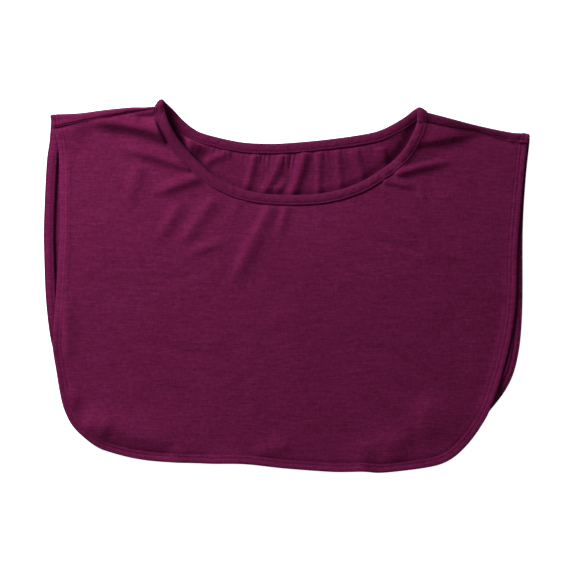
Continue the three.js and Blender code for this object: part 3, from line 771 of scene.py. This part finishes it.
def wrapped(crest, top, under):
    """Columns over a shoulder roll, from the seam (top) round to the flat of the back (under)."""
    quarter = np.linspace(0, math.pi / 2, WRAP_COLUMNS + 1)
    over = [mixed(crest, top, 1 - math.sin(angle))[:, :2] for angle in quarter]
    over = ditched(on_layer(np.array(over), upper))
    below = []
    for angle in quarter[1:-1]:
        place = mixed(crest, under, 1 - math.cos(angle))
        place[:, 2] = mixed(over[-1, :, 2], under[:, 2], math.sin(angle))
        below.append(place)
    return np.concatenate([over, below])


def panel_columns():
    """All columns of the front and of the back, rolls included."""
    front = panel_plan(
        panel_shares(FRONT_COLUMNS), neck_front, hem_front, EndLine(seam_left), EndLine(seam_right)
    )
    back = panel_plan(
        panel_shares(BACK_COLUMNS),
        neck_back,
        hem_back,
        EndLine(roll_left, ROLL_RADIUS),
        EndLine(roll_right, ROLL_RADIUS),
    )
    front, back = ditched(on_layer(front, upper)), ditched(on_layer(back, lower))
    left = wrapped(roll_column(EndLine(roll_left), PEAK_LEFT), front[0], back[0])
    right = wrapped(roll_column(EndLine(roll_right), PEAK_RIGHT), front[-1], back[-1])
    return front, np.concatenate([left, back, right[::-1]])


def normals_of(grid):
    """Surface normals of a grid of points, by column and row."""
    along = np.gradient(grid, axis=0)
    down = np.gradient(grid, axis=1)
    return unit(np.cross(along, down))


def ways_along(line):
    steps = np.linalg.norm(np.diff(line, axis=0), axis=1)
    return np.concatenate([[0], np.cumsum(steps)])


def ways_grid(along, inward):
    """The place of each point of a grid along and in from an edge."""
    return np.stack(np.broadcast_arrays(along[:, None], inward[None, :]), -1)


def mesh_object(name, points, faces, uvs=None):
    places = np.array(points)
    places[:, 2] = np.maximum(places[:, 2], 0)  # the table stops it
    mesh = bpy.data.meshes.new(name)
    mesh.from_pydata((places * MM).tolist(), [], faces)
    mesh.polygons.foreach_set("use_smooth", [True] * len(mesh.polygons))
    if uvs is not None:
        layer = mesh.uv_layers.new(name="way")
        corners = np.empty(len(mesh.loops), int)
        mesh.loops.foreach_get("vertex_index", corners)
        layer.uv.foreach_set("vector", (uvs[corners] * MM).astype(np.float32).ravel())
    mesh.update()
    piece = bpy.data.objects.new(name, mesh)
    bpy.context.scene.collection.objects.link(piece)
    return piece


def cloth_piece(name, grid, ways, outer=CLOTH / 2, inner=CLOTH / 2):
    """A closed layer of cloth round a grid. ways has each point's place along and in from the
    edge; outer and inner are how far the two faces stand off the grid."""
    normals = normals_of(grid)
    columns, rows = grid.shape[:2]
    sides = [
        grid + normals * np.broadcast_to(outer, (columns, rows))[..., None],
        grid - normals * np.broadcast_to(inner, (columns, rows))[..., None],
    ]
    points = np.concatenate([side.reshape(-1, 3) for side in sides])
    uvs = np.concatenate([ways.reshape(-1, 2)] * 2)
    number = np.arange(columns * rows).reshape(columns, rows)
    top = np.stack([number[:-1, :-1], number[1:, :-1], number[1:, 1:], number[:-1, 1:]], -1)
    under = top[..., ::-1] + columns * rows
    rim = np.concatenate([number[:, 0], number[-1, 1:], number[-2::-1, -1], number[0, -2::-1]])
    edge = np.stack([rim[1:], rim[:-1], rim[:-1] + columns * rows, rim[1:] + columns * rows], -1)
    faces = np.concatenate([top.reshape(-1, 4), under.reshape(-1, 4), edge])
    return mesh_object(name, points, faces.tolist(), uvs)


def pulled_in(grid, by):
    """The grid with both end columns moved in a little, so that two sewn ends keep a gap."""
    pulled = grid.copy()
    for end, beside in ((0, 1), (-1, -2)):
        way = grid[beside] - grid[end]
        length = np.linalg.norm(way, axis=-1, keepdims=True)
        pulled[end] += way / length * np.minimum(by, length * 0.4)
    return pulled


def folded_edge(body, inner_sign):
    """The rows that turn a panel's outer edge to the inside."""
    normals = normals_of(body)[:, -1]
    edge = body[:, -1]
    outward = unit(edge - body[:, -2])
    inside = normals * inner_sign
    rows = [
        edge
        + outward * FOLD_RADIUS * math.sin(turn)
        + inside * FOLD_RADIUS * (1 - math.cos(turn))
        for turn in np.radians(FOLD_TURNS)
    ]
    rows.append(rows[-1] - outward * FOLD_RADIUS)
    return np.stack(rows, 1)


def hem_grid(body, inner_sign):
    """The turned allowance: the panel's hem rows, one layer further in."""
    count = len(HEM_ROWS)
    rows = body[:, -count - 1 :]
    inside = normals_of(body)[:, -count - 1 :] * inner_sign
    grid = rows + inside * LAYER
    start = FOLD_RADIUS + GAP / 2
    grid[:, -1] -= unit(grid[:, -1] - grid[:, -2]) * start
    return grid


def edge_distances():
    """How far each row of a panel lies in from its outer edge."""
    seam = HEM_WIDTH + BODY_LENGTH
    body = HEM_WIDTH + (1 - body_shares()) * BODY_LENGTH
    return np.array([seam + BINDING_GRIP, seam, *body, *RIM_ROWS, *FOLD_DISTANCES])


def grooves(distances):
    return sum(GROOVE_DEPTH * bell(distances - row, GROOVE_WIDTH) for row in HEM_STITCHES)


def hem_relief(along, distances, seed):
    """How the outer face of a panel stands off over its hem: stitch grooves and puckers."""
    d = distances[None, :]
    u = along[:, None]
    pucker = PUCKER * waver(u + 0.5 * d, PUCKER_LENGTH, seed) * span(d, *PUCKER_SPAN)
    welt = WELT * bell(d - sum(HEM_STITCHES) / 2, 1.0)
    return pucker + welt + PADDING * span(d, *PADDING_SPAN) - grooves(d)


def panel_piece(side, columns, inner_sign, seed):
    """A panel with its turned edge, and the allowance inside it."""
    neck, seam = columns[:, 0], columns[:, 1]
    grip = seam - unit(seam - neck) * BINDING_GRIP
    body = np.concatenate([grip[:, None], columns[:, 1:]], 1)
    grid = np.concatenate([body, folded_edge(body, inner_sign)], 1)
    distances = edge_distances()
    along = ways_along(columns[:, -1])
    ways = ways_grid(along, distances)
    relief = CLOTH / 2 + hem_relief(along, distances, seed)
    faces = {"inner": relief} if inner_sign > 0 else {"outer": relief}
    panel = cloth_piece(side + "_cloth", pulled_in(grid, SEAM_GAP / 2), ways, **faces)
    turned = hem_grid(body, inner_sign)
    hem_ways = ways[:, body.shape[1] - turned.shape[1] : body.shape[1]]
    hem = cloth_piece(side + "_turning", pulled_in(turned, SEAM_GAP / 2), hem_ways)
    return panel, hem, body


def binding_ring(front, back):
    """Free edge and seam of the neck, from the right shoulder seam over the front, the left
    shoulder and the back to the same seam again."""
    return np.concatenate([front[::-1, :2], back[1:, :2]])


def even_ring(ring):
    """The ring in even steps along its middle."""
    way = ways_along(ring.mean(1))
    count = int(way[-1] / RING_STEP)
    places = np.linspace(0, way[-1], count)
    flat = ring.reshape(len(ring), -1)
    even = np.stack([np.interp(places, way, flat[:, k]) for k in range(flat.shape[1])], -1)
    return even.reshape(count, 2, 3), places


def ring_frame(ring):
    neck, seam = ring[:, 0], ring[:, 1]
    across = unit(seam - neck)
    along = np.gradient(ring.mean(1), axis=0)
    out = unit(np.cross(along, across))
    return neck, across, out


def binding_section():
    """The closed section of the folded strip: its outside, then the slot for the panel."""
    outside = [*BINDING_SECTION, (0.0, 0.0), *((a, -h) for a, h in BINDING_SECTION[::-1])]
    inside = [*((a, -h) for a, h in BINDING_SLOT[::-1]), *BINDING_SLOT]
    return np.array(outside + inside)


def binding_piece(ring):
    even, way = even_ring(ring)
    places = way[:, None]
    neck, across, out = ring_frame(even)
    section = binding_section()
    aside, high = section[:, 0][None, :], section[:, 1][None, :]
    swell = np.sin(math.pi * np.clip(aside / BINDING_STITCH, 0, 1))
    ripple = sum(
        height * waver(places + slant * aside, wavelength, seed)
        for height, slant, wavelength, seed in BINDING_RIPPLES
    )
    tall = high * (1 + ripple * swell * (np.abs(high) > 1))
    waist = BINDING_WANDER * waver(places, 26, seed=13) * (aside > 8)
    points = (
        neck[:, None]
        + across[:, None] * (aside + waist)[..., None]
        + out[:, None] * tall[..., None]
    )
    uvs = ways_grid(way, ways_along(section)).reshape(-1, 2)
    faces = tube_faces(*points.shape[:2])
    return mesh_object("folded_binding", points.reshape(-1, 3), faces, uvs)


def read_line(line, normals, step, start=0.0):
    """Places, directions and normals in even steps along a line on the cloth."""
    way = ways_along(line)
    places = np.arange(start, way[-1] - step, step)

    def at(values, where):
        return np.stack([np.interp(where, way, values[:, k]) for k in range(3)], -1)

    here = at(line, places)
    return here, unit(at(line, places + step * 0.5) - here), unit(at(normals, places))


def stitch_row(line, normals, pitch, seed):
    """Short threads along a line, each arched out of the cloth and sunk at both ends."""
    centre, along, up = read_line(line, normals, pitch, pitch * 0.5)
    draw = np.random.default_rng(seed)
    half = pitch * STITCH_SHARE * draw.uniform(0.93, 1.05, len(centre))
    lean = draw.normal(0, STITCH_LEAN, len(centre))
    along = unit(along + np.cross(up, along) * lean[:, None])
    aside = np.cross(up, along)
    angles = np.arange(STITCH_SIDES) * 2 * math.pi / STITCH_SIDES
    rings = []
    for place, high, thick in STITCH_PROFILE:
        middle = centre + along * (half * place)[:, None] + up * high
        for angle in angles:
            reach = THREAD_RADIUS * thick
            rings.append(middle + aside * math.cos(angle) * reach + up * math.sin(angle) * reach)
    points = np.stack(rings, 1)
    return points.reshape(-1, 3), tube_faces(len(STITCH_PROFILE), STITCH_SIDES, len(centre))


def tube_faces(rings, sides, tubes=1):
    """Faces of closed tubes, each with so many rings of so many points."""
    number = np.arange(rings * sides).reshape(rings, sides)
    following = np.roll(number, -1, axis=1)
    around = np.stack([number[:-1], following[:-1], following[1:], number[1:]], -1).reshape(-1, 4)
    one = [*around.tolist(), number[0, ::-1].tolist(), number[-1].tolist()]
    size = rings * sides
    return [[corner + tube * size for corner in face] for tube in range(tubes) for face in one]


def thread_along(path, sides=5):
    """One closed thread along a path."""
    along = unit(np.gradient(path, axis=0))
    side = unit(np.cross(along, [0.0, 0.0, 1.0]) + 1e-6)
    up = np.cross(along, side)
    angles = np.arange(sides) * 2 * math.pi / sides
    rings = [path + (side * math.cos(a) + up * math.sin(a)) * THREAD_RADIUS for a in angles]
    return np.stack(rings, 1).reshape(-1, 3), tube_faces(len(path), sides)


def zigzag(first, second, normals, pitch, lift):
    """A path that goes to and fro between two lines on the cloth, lifted by some thread radii."""
    a, _, up = read_line(first, normals, pitch)
    b, _, _ = read_line(second, normals, pitch)
    count = min(len(a), len(b))
    a, b, up = a[:count], b[:count], up[:count]
    bow = up * THREAD_BOW
    corners = np.stack([a, mixed(a, b, 0.5) + bow, b, mixed(b, a, 0.45) + bow], 1)
    onward = (np.roll(a, -1, 0) - a) * 0.5
    onward[-1] = 0
    corners[:, 2:] += onward[:, None]
    return (corners + up[:, None] * lift * THREAD_RADIUS).reshape(-1, 3)


def joined(name, parts):
    points, faces, start = [], [], 0
    for places, some in parts:
        points.append(places)
        faces += [[corner + start for corner in face] for face in some]
        start += len(places)
    return mesh_object(name, np.concatenate(points), faces)


def hem_stitches(name, body, inner_sign, seed):
    """Twin rows on the outside of a hem, and the threads that cross between them inside."""
    normals = normals_of(body) * -inner_sign
    lift = CLOTH / 2 - GROOVE_DEPTH + HEM_SEAT
    parts, inner_lines = [], []
    for k, distance in enumerate(HEM_STITCHES):
        row = body.shape[1] - len(HEM_ROWS) - 1 + HEM_ROWS.index(distance)
        out = normals[:, row]
        parts.append(stitch_row(body[:, row] + out * lift, out, HEM_PITCH, seed + k))
        inner_lines.append((body[:, row] - out * (LAYER + CLOTH / 2), -out))
    (first, up), (second, _) = inner_lines
    parts.append(thread_along(zigzag(first, second, up, HEM_PITCH / 2, LOW_THREAD)))
    parts.append(thread_along(zigzag(second, first, up, HEM_PITCH, HIGH_THREAD)))
    return joined(name, parts)


def binding_stitches(ring):
    """One row on each face of the binding."""
    even, _ = even_ring(ring)
    neck, across, out = ring_frame(even)
    line = neck + across * BINDING_STITCH
    high = BINDING_GROOVE + BINDING_SEAT
    upper_row = stitch_row(line + out * high, out, BINDING_PITCH, seed=31)
    lower_row = stitch_row(line - out * high, -out, BINDING_PITCH, seed=32)
    return joined("binding_stitches", [upper_row, lower_row])


def seam_allowance(side, columns):
    """The overlocked allowance inside a shoulder seam, and its threads."""
    first, last = ALLOWANCE_ENDS
    strip = columns[:, first : columns.shape[1] - len(HEM_ROWS) - last]
    asides = np.array(ALLOWANCE_ROWS)
    rows = []
    for row in np.moveaxis(strip, 1, 0):
        way = ways_along(row)
        rows.append(np.stack([np.interp(asides, way, row[:, k]) for k in range(3)], -1))
    grid = np.stack(rows, 1)
    normals = normals_of(grid)
    down = normals * -np.sign(normals[:1, :1, 2:])
    grid = grid + down * LAYER
    ways = ways_grid(ways_along(grid[0]), asides).swapaxes(0, 1)
    allowance = cloth_piece(side + "_allowance", grid, ways)
    face = grid + down * CLOTH / 2
    path = zigzag(face[1], face[-1], down[1], OVERLOCK_PITCH, LOW_THREAD)
    return allowance, joined(side + "_overlock", [thread_along(path)])


class Nodes:
    """Adds nodes to a tree. A socket is fed by a number, a colour or another node's output."""

    def __init__(self, tree):
        self.tree = tree

    def feed(self, socket, value):
        if isinstance(value, bpy.types.NodeSocket):
            self.tree.links.new(value, socket)
        else:
            socket.default_value = value

    def fill(self, inputs, values):
        for name, value in values.items():
            self.feed(inputs[name], value)

    def add(self, kind, values=(), **settings):
        node = self.tree.nodes.new(kind)
        for name, value in settings.items():
            setattr(node, name, value)
        self.fill(node.inputs, dict(values))
        return node

    def group(self, tree, values):
        return self.add("ShaderNodeGroup", values, node_tree=tree).outputs

    def part(self, vector, axis):
        return self.add("ShaderNodeSeparateXYZ", {"Vector": vector}).outputs[axis]

    def bump(self, height, strength, distance):
        values = {"Height": height, "Strength": strength, "Distance": distance}
        return self.add("ShaderNodeBump", values).outputs["Normal"]

    def math(self, operation, *values):
        node = self.tree.nodes.new("ShaderNodeMath")
        node.operation = operation
        for socket, value in zip(node.inputs, values):
            self.feed(socket, value)
        return node.outputs[0]

    def noise(self, vector, detail, roughness=0.5):
        node = self.add(
            "ShaderNodeTexNoise",
            {"Vector": vector, "Scale": 1.0, "Detail": detail, "Roughness": roughness},
        )
        return node.outputs["Fac"]

    def stretched(self, vector, sizes, place=(0, 0, 0)):
        node = self.add(
            "ShaderNodeMapping",
            {"Vector": vector, "Location": place, "Scale": [1 / size for size in sizes]},
        )
        return node.outputs["Vector"]


def node_group(name, inputs, outputs):
    """An empty shader group with named sockets, and its two end nodes."""
    group = bpy.data.node_groups.new(name, "ShaderNodeTree")
    for label, kind in inputs:
        group.interface.new_socket(label, in_out="INPUT", socket_type=kind)
    for label, kind in outputs:
        group.interface.new_socket(label, in_out="OUTPUT", socket_type=kind)
    source = group.nodes.new("NodeGroupInput")
    target = group.nodes.new("NodeGroupOutput")
    return group, Nodes(group), source.outputs, target.inputs


def knit_group():
    """Jersey loops: columns of small Vs. Place is in metres, with X across the columns."""
    group, n, given, wanted = node_group(
        "jersey_knit",
        [("Place", "NodeSocketVector"), ("Column", "NodeSocketFloat"), ("Row", "NodeSocketFloat")],
        [("Loops", "NodeSocketFloat")],
    )
    column = n.math("DIVIDE", n.part(given["Place"], "X"), given["Column"])
    row = n.math("DIVIDE", n.part(given["Place"], "Y"), given["Row"])
    aside = n.math("ABSOLUTE", n.math("SUBTRACT", n.math("FRACT", column), 0.5))
    leg = n.math("ADD", row, n.math("MULTIPLY", aside, 1.3))
    loop = n.math("COSINE", n.math("MULTIPLY", leg, 2 * math.pi))
    ridge = n.math("SUBTRACT", 1.0, n.math("MULTIPLY", n.math("MULTIPLY", aside, aside), 4.0))
    loops = n.math("MULTIPLY", ridge, n.math("MULTIPLY_ADD", loop, 0.3, 0.7))
    n.feed(wanted["Loops"], loops)
    return group


def streak_group():
    """Uneven yarn: long thin streaks along X, finer flecks and slow drifts of tone."""
    group, n, given, wanted = node_group(
        "uneven_yarn",
        [("Place", "NodeSocketVector")],
        [("Streaks", "NodeSocketFloat"), ("Flecks", "NodeSocketFloat"), ("Drift", "NodeSocketFloat")],
    )
    place = given["Place"]
    long = n.noise(n.stretched(place, (0.014, 0.0011, 0.02)), 3.0, 0.65)
    short = n.noise(n.stretched(place, (0.004, 0.0011, 0.02), (3, 7, 0)), 2.0, 0.6)
    n.feed(wanted["Streaks"], n.math("MULTIPLY_ADD", long, 0.5, n.math("MULTIPLY", short, 0.5)))
    n.feed(wanted["Flecks"], n.noise(n.stretched(place, (0.0013, 0.0045, 0.002)), 2.0, 0.6))
    n.feed(wanted["Drift"], n.noise(n.stretched(place, (0.05, 0.035, 0.05), (5, 1, 2)), 2.0))
    return group


def rib_group():
    """Fine ribs across a strip, from 0 to 1. Way is in metres, with X along the strip."""
    group, n, given, wanted = node_group(
        "cross_ribs",
        [("Way", "NodeSocketVector"), ("Pitch", "NodeSocketFloat")],
        [("Ribs", "NodeSocketFloat")],
    )
    along = n.math("MULTIPLY", n.part(given["Way"], "X"), 2 * math.pi)
    turns = n.math("DIVIDE", along, given["Pitch"])
    n.feed(wanted["Ribs"], n.math("MULTIPLY_ADD", n.math("SINE", turns), 0.5, 0.5))
    return group


def face_group(streaks):
    """The face of the jersey: its tone, its roughness and the height of loops and ribs."""
    group, n, given, wanted = node_group(
        "jersey_face",
        [("Place", "NodeSocketVector"), ("Ribs", "NodeSocketFloat")],
        [("Tone", "NodeSocketFloat"), ("Rough", "NodeSocketFloat"), ("Height", "NodeSocketFloat")],
    )
    yarn = n.group(streaks, {"Place": given["Place"]})
    loops = n.group(knit_group(), {"Place": given["Place"], **LOOP})["Loops"]
    tone = n.math("MULTIPLY_ADD", yarn["Streaks"], 0.72, n.math("MULTIPLY", yarn["Flecks"], 0.28))
    tone = n.math("MULTIPLY_ADD", n.math("SUBTRACT", yarn["Drift"], 0.5), 0.08, tone)
    tone = n.math("MULTIPLY_ADD", n.math("SUBTRACT", loops, 0.6), 0.10, tone)
    n.feed(wanted["Tone"], tone)
    n.feed(wanted["Rough"], n.math("MULTIPLY_ADD", yarn["Flecks"], 0.12, 0.78))
    height = n.math("MULTIPLY_ADD", yarn["Streaks"], 0.5, loops)
    n.feed(wanted["Height"], n.math("MULTIPLY_ADD", given["Ribs"], 1.7, height))
    return group


def ramp(nodes, value, stops):
    """A colour ramp through stops of (place, colour)."""
    node = nodes.add("ShaderNodeValToRGB", {"Fac": value})
    elements = node.color_ramp.elements
    while len(elements) < len(stops):
        elements.new(0.5)
    for element, (place, colour) in zip(elements, stops):
        element.position = place
        element.color = (*colour, 1.0)
    return node.outputs["Color"]


def hem_crimp(nodes, ribs, way):
    """Ribs that the stitches draw up across a hem."""
    start, end = CRIMP_ENDS
    ends = {"From Min": start, "From Max": end, "To Min": 1.0, "To Max": 0.0}
    over = nodes.add("ShaderNodeMapRange", {"Value": nodes.part(way, "Y"), **ends})
    crimp = nodes.group(ribs, {"Way": way, "Pitch": HEM_RIB_PITCH})["Ribs"]
    return nodes.math("MULTIPLY", over.outputs["Result"], crimp)


def new_material(name):
    """A bare material, its nodes and the sockets of its shader."""
    material = bpy.data.materials.new(name)
    material.use_nodes = True
    return material, Nodes(material.node_tree), material.node_tree.nodes["Principled BSDF"].inputs


def jersey(name, face, ribs, dark, light, by_way):
    """The knitted cloth. by_way lays it along the strip, and otherwise across the dickey."""
    material, n, shader = new_material(name)
    way = n.add("ShaderNodeUVMap", uv_map="way").outputs["UV"]
    place = way if by_way else n.add("ShaderNodeTexCoord").outputs["Object"]
    if by_way:
        crimp = n.group(ribs, {"Way": way, "Pitch": RIB_PITCH})["Ribs"]
    else:
        crimp = hem_crimp(n, ribs, way)
    cloth = n.group(face, {"Place": place, "Ribs": crimp})
    middle = mixed(np.array(dark), np.array(light), 0.75)
    # the top stop is partly lighter yarn and partly painted glint: flecks whitened past the light
    # plum
    glint_stop = np.array(light) * PAINTED_GLINT
    stops = [(0.34, dark), (0.58, tuple(middle)), (0.76, tuple(glint_stop))]
    finish = {
        "Base Color": ramp(n, cloth["Tone"], stops),
        "Roughness": cloth["Rough"],
        "Normal": n.bump(cloth["Height"], 0.5, 0.12 * MM),
        "Specular IOR Level": 0.1,
        "Specular Tint": (1.0, 0.7, 0.85, 1.0),
        "Sheen Weight": 0.06,
        "Sheen Roughness": 0.45,
        "Sheen Tint": (0.9, 0.4, 0.7, 1.0),
    }
    n.fill(shader, finish)
    return material


def thread_material(streaks):
    """Spun thread in the cloth's colour, with a fine twist."""
    material, n, shader = new_material("plum_thread")
    place = n.add("ShaderNodeTexCoord").outputs["Object"]
    twist = n.add(
        "ShaderNodeTexWave",
        {"Vector": place, "Scale": 900.0, "Distortion": 1.5},
        wave_type="BANDS",
        bands_direction="DIAGONAL",
    ).outputs["Fac"]
    flecks = n.group(streaks, {"Place": place})["Flecks"]
    tone = n.math("MULTIPLY_ADD", flecks, 0.5, n.math("MULTIPLY", twist, 0.4))
    finish = {
        "Base Color": ramp(n, tone, [(0.2, DARK_THREAD), (0.8, LIGHT_THREAD)]),
        "Roughness": n.math("MULTIPLY_ADD", twist, 0.1, 0.5),
        "Normal": n.bump(twist, 0.4, 0.05 * MM),
        "Specular IOR Level": 0.1,
    }
    n.fill(shader, finish)
    return material


def floor_material():
    """A pale matt table with a faint grain. Its glow is for the camera alone."""
    material, n, shader = new_material("pale_table")
    place = n.add("ShaderNodeTexCoord").outputs["Object"]
    grain = n.noise(n.stretched(place, (0.4, 0.4, 0.4)), 2.0)
    seen = n.add("ShaderNodeLightPath").outputs["Is Camera Ray"]
    finish = {
        "Base Color": ramp(n, grain, [(0.3, (0.90, 0.90, 0.90)), (0.7, (0.91, 0.91, 0.91))]),
        "Roughness": 0.9,
        "Specular IOR Level": 0.1,
        "Emission Color": ramp(n, seen, [(0.0, (0, 0, 0)), (1.0, (1, 1, 1))]),
        "Emission Strength": FLOOR_GLOW,
    }
    n.fill(shader, finish)
    return material


def ride(piece, slot, material, *nodes):
    """Puts a piece on the part's body, in place of the named solids."""
    piece.data.materials.append(material)
    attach(piece, "root")
    if nodes:
        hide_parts(*nodes)


def build_dickey():
    streaks, ribs = streak_group(), rib_group()
    face = face_group(streaks)
    panel_cloth = jersey("panel_jersey", face, ribs, DARK_PLUM, LIGHT_PLUM, by_way=False)
    # painted shade: the binding gets a darker copy of the panels' plum colours
    shaded_plums = [tuple(part * BINDING_PAINTED_SHADE for part in plum) for plum in (DARK_PLUM, LIGHT_PLUM)]
    binding_cloth = jersey("binding_jersey", face, ribs, *shaded_plums, by_way=True)
    thread = thread_material(streaks)

    front, back = panel_columns()
    front_panel, front_hem, front_body = panel_piece("front", front, 1, 21)
    back_panel, back_hem, back_body = panel_piece("back", back, -1, 22)
    ring = binding_ring(front, back)
    binding = binding_piece(ring)

    ride(front_panel, "panel_jersey", panel_cloth, "front_panel")
    ride(back_panel, "panel_jersey", panel_cloth, "back_panel")
    ride(front_hem, "panel_jersey", panel_cloth, "front_hem")
    ride(back_hem, "panel_jersey", panel_cloth, "back_hem")
    ride(binding, "binding_jersey", binding_cloth, "neck_binding")
    ride(hem_stitches("front_hem_stitches", front_body, 1, 41), "panel_jersey", thread)
    ride(hem_stitches("back_hem_stitches", back_body, -1, 43), "panel_jersey", thread)
    ride(binding_stitches(ring), "binding_jersey", thread)
    for side, columns in (("left", front), ("right", front[::-1])):
        allowance, threads = seam_allowance(side, columns)
        ride(allowance, "panel_jersey", panel_cloth, side + "_shoulder_seam")
        ride(threads, "panel_jersey", thread)
    return front_panel, back_panel, front_hem, back_hem, binding


def add_floor():
    mesh = bpy.data.meshes.new("table")
    reach = 15.0
    corners = [(-reach, -reach, 0), (reach, -reach, 0), (reach, reach, 0), (-reach, reach, 0)]
    mesh.from_pydata(corners, [], [(0, 1, 2, 3)])
    table = bpy.data.objects.new("table", mesh)
    table.location.z = -0.0002
    mesh.materials.append(floor_material())
    bpy.context.scene.collection.objects.link(table)


def area_light(name, place, size, power):
    light = bpy.data.lights.new(name, "AREA")
    light.size = size
    light.energy = power
    lamp = bpy.data.objects.new(name, light)
    lamp.location = place
    lamp.rotation_euler = (-lamp.location).to_track_quat("-Z", "Y").to_euler()
    bpy.context.scene.collection.objects.link(lamp)


def light_scene():
    area_light("window", (-0.8, 0.8, 0.65), size=0.5, power=30)
    area_light("fill", (0.8, -0.6, 1.8), size=2.2, power=2)
    world = bpy.data.worlds.new("studio")
    world.use_nodes = True
    background = world.node_tree.nodes["Background"]
    background.inputs["Color"].default_value = (1, 1, 1, 1)
    background.inputs["Strength"].default_value = 0.15
    bpy.context.scene.world = world
    bpy.context.scene.view_settings.view_transform = "Standard"


def add_camera():
    """Straight above, with the field of view as wide as the photograph at the cloth's height."""
    field, cloth_height = 0.530, 0.008
    height = 1.6
    camera = bpy.data.cameras.new("camera")
    camera.sensor_width = 36
    camera.lens = camera.sensor_width * (height - cloth_height) / field
    view = bpy.data.objects.new("camera", camera)
    view.location = (0, -0.0002, height)
    bpy.context.scene.collection.objects.link(view)
    bpy.context.scene.camera = view


front_panel, back_panel, front_hem, back_hem, binding = build_dickey()
add_floor()
light_scene()
add_camera()
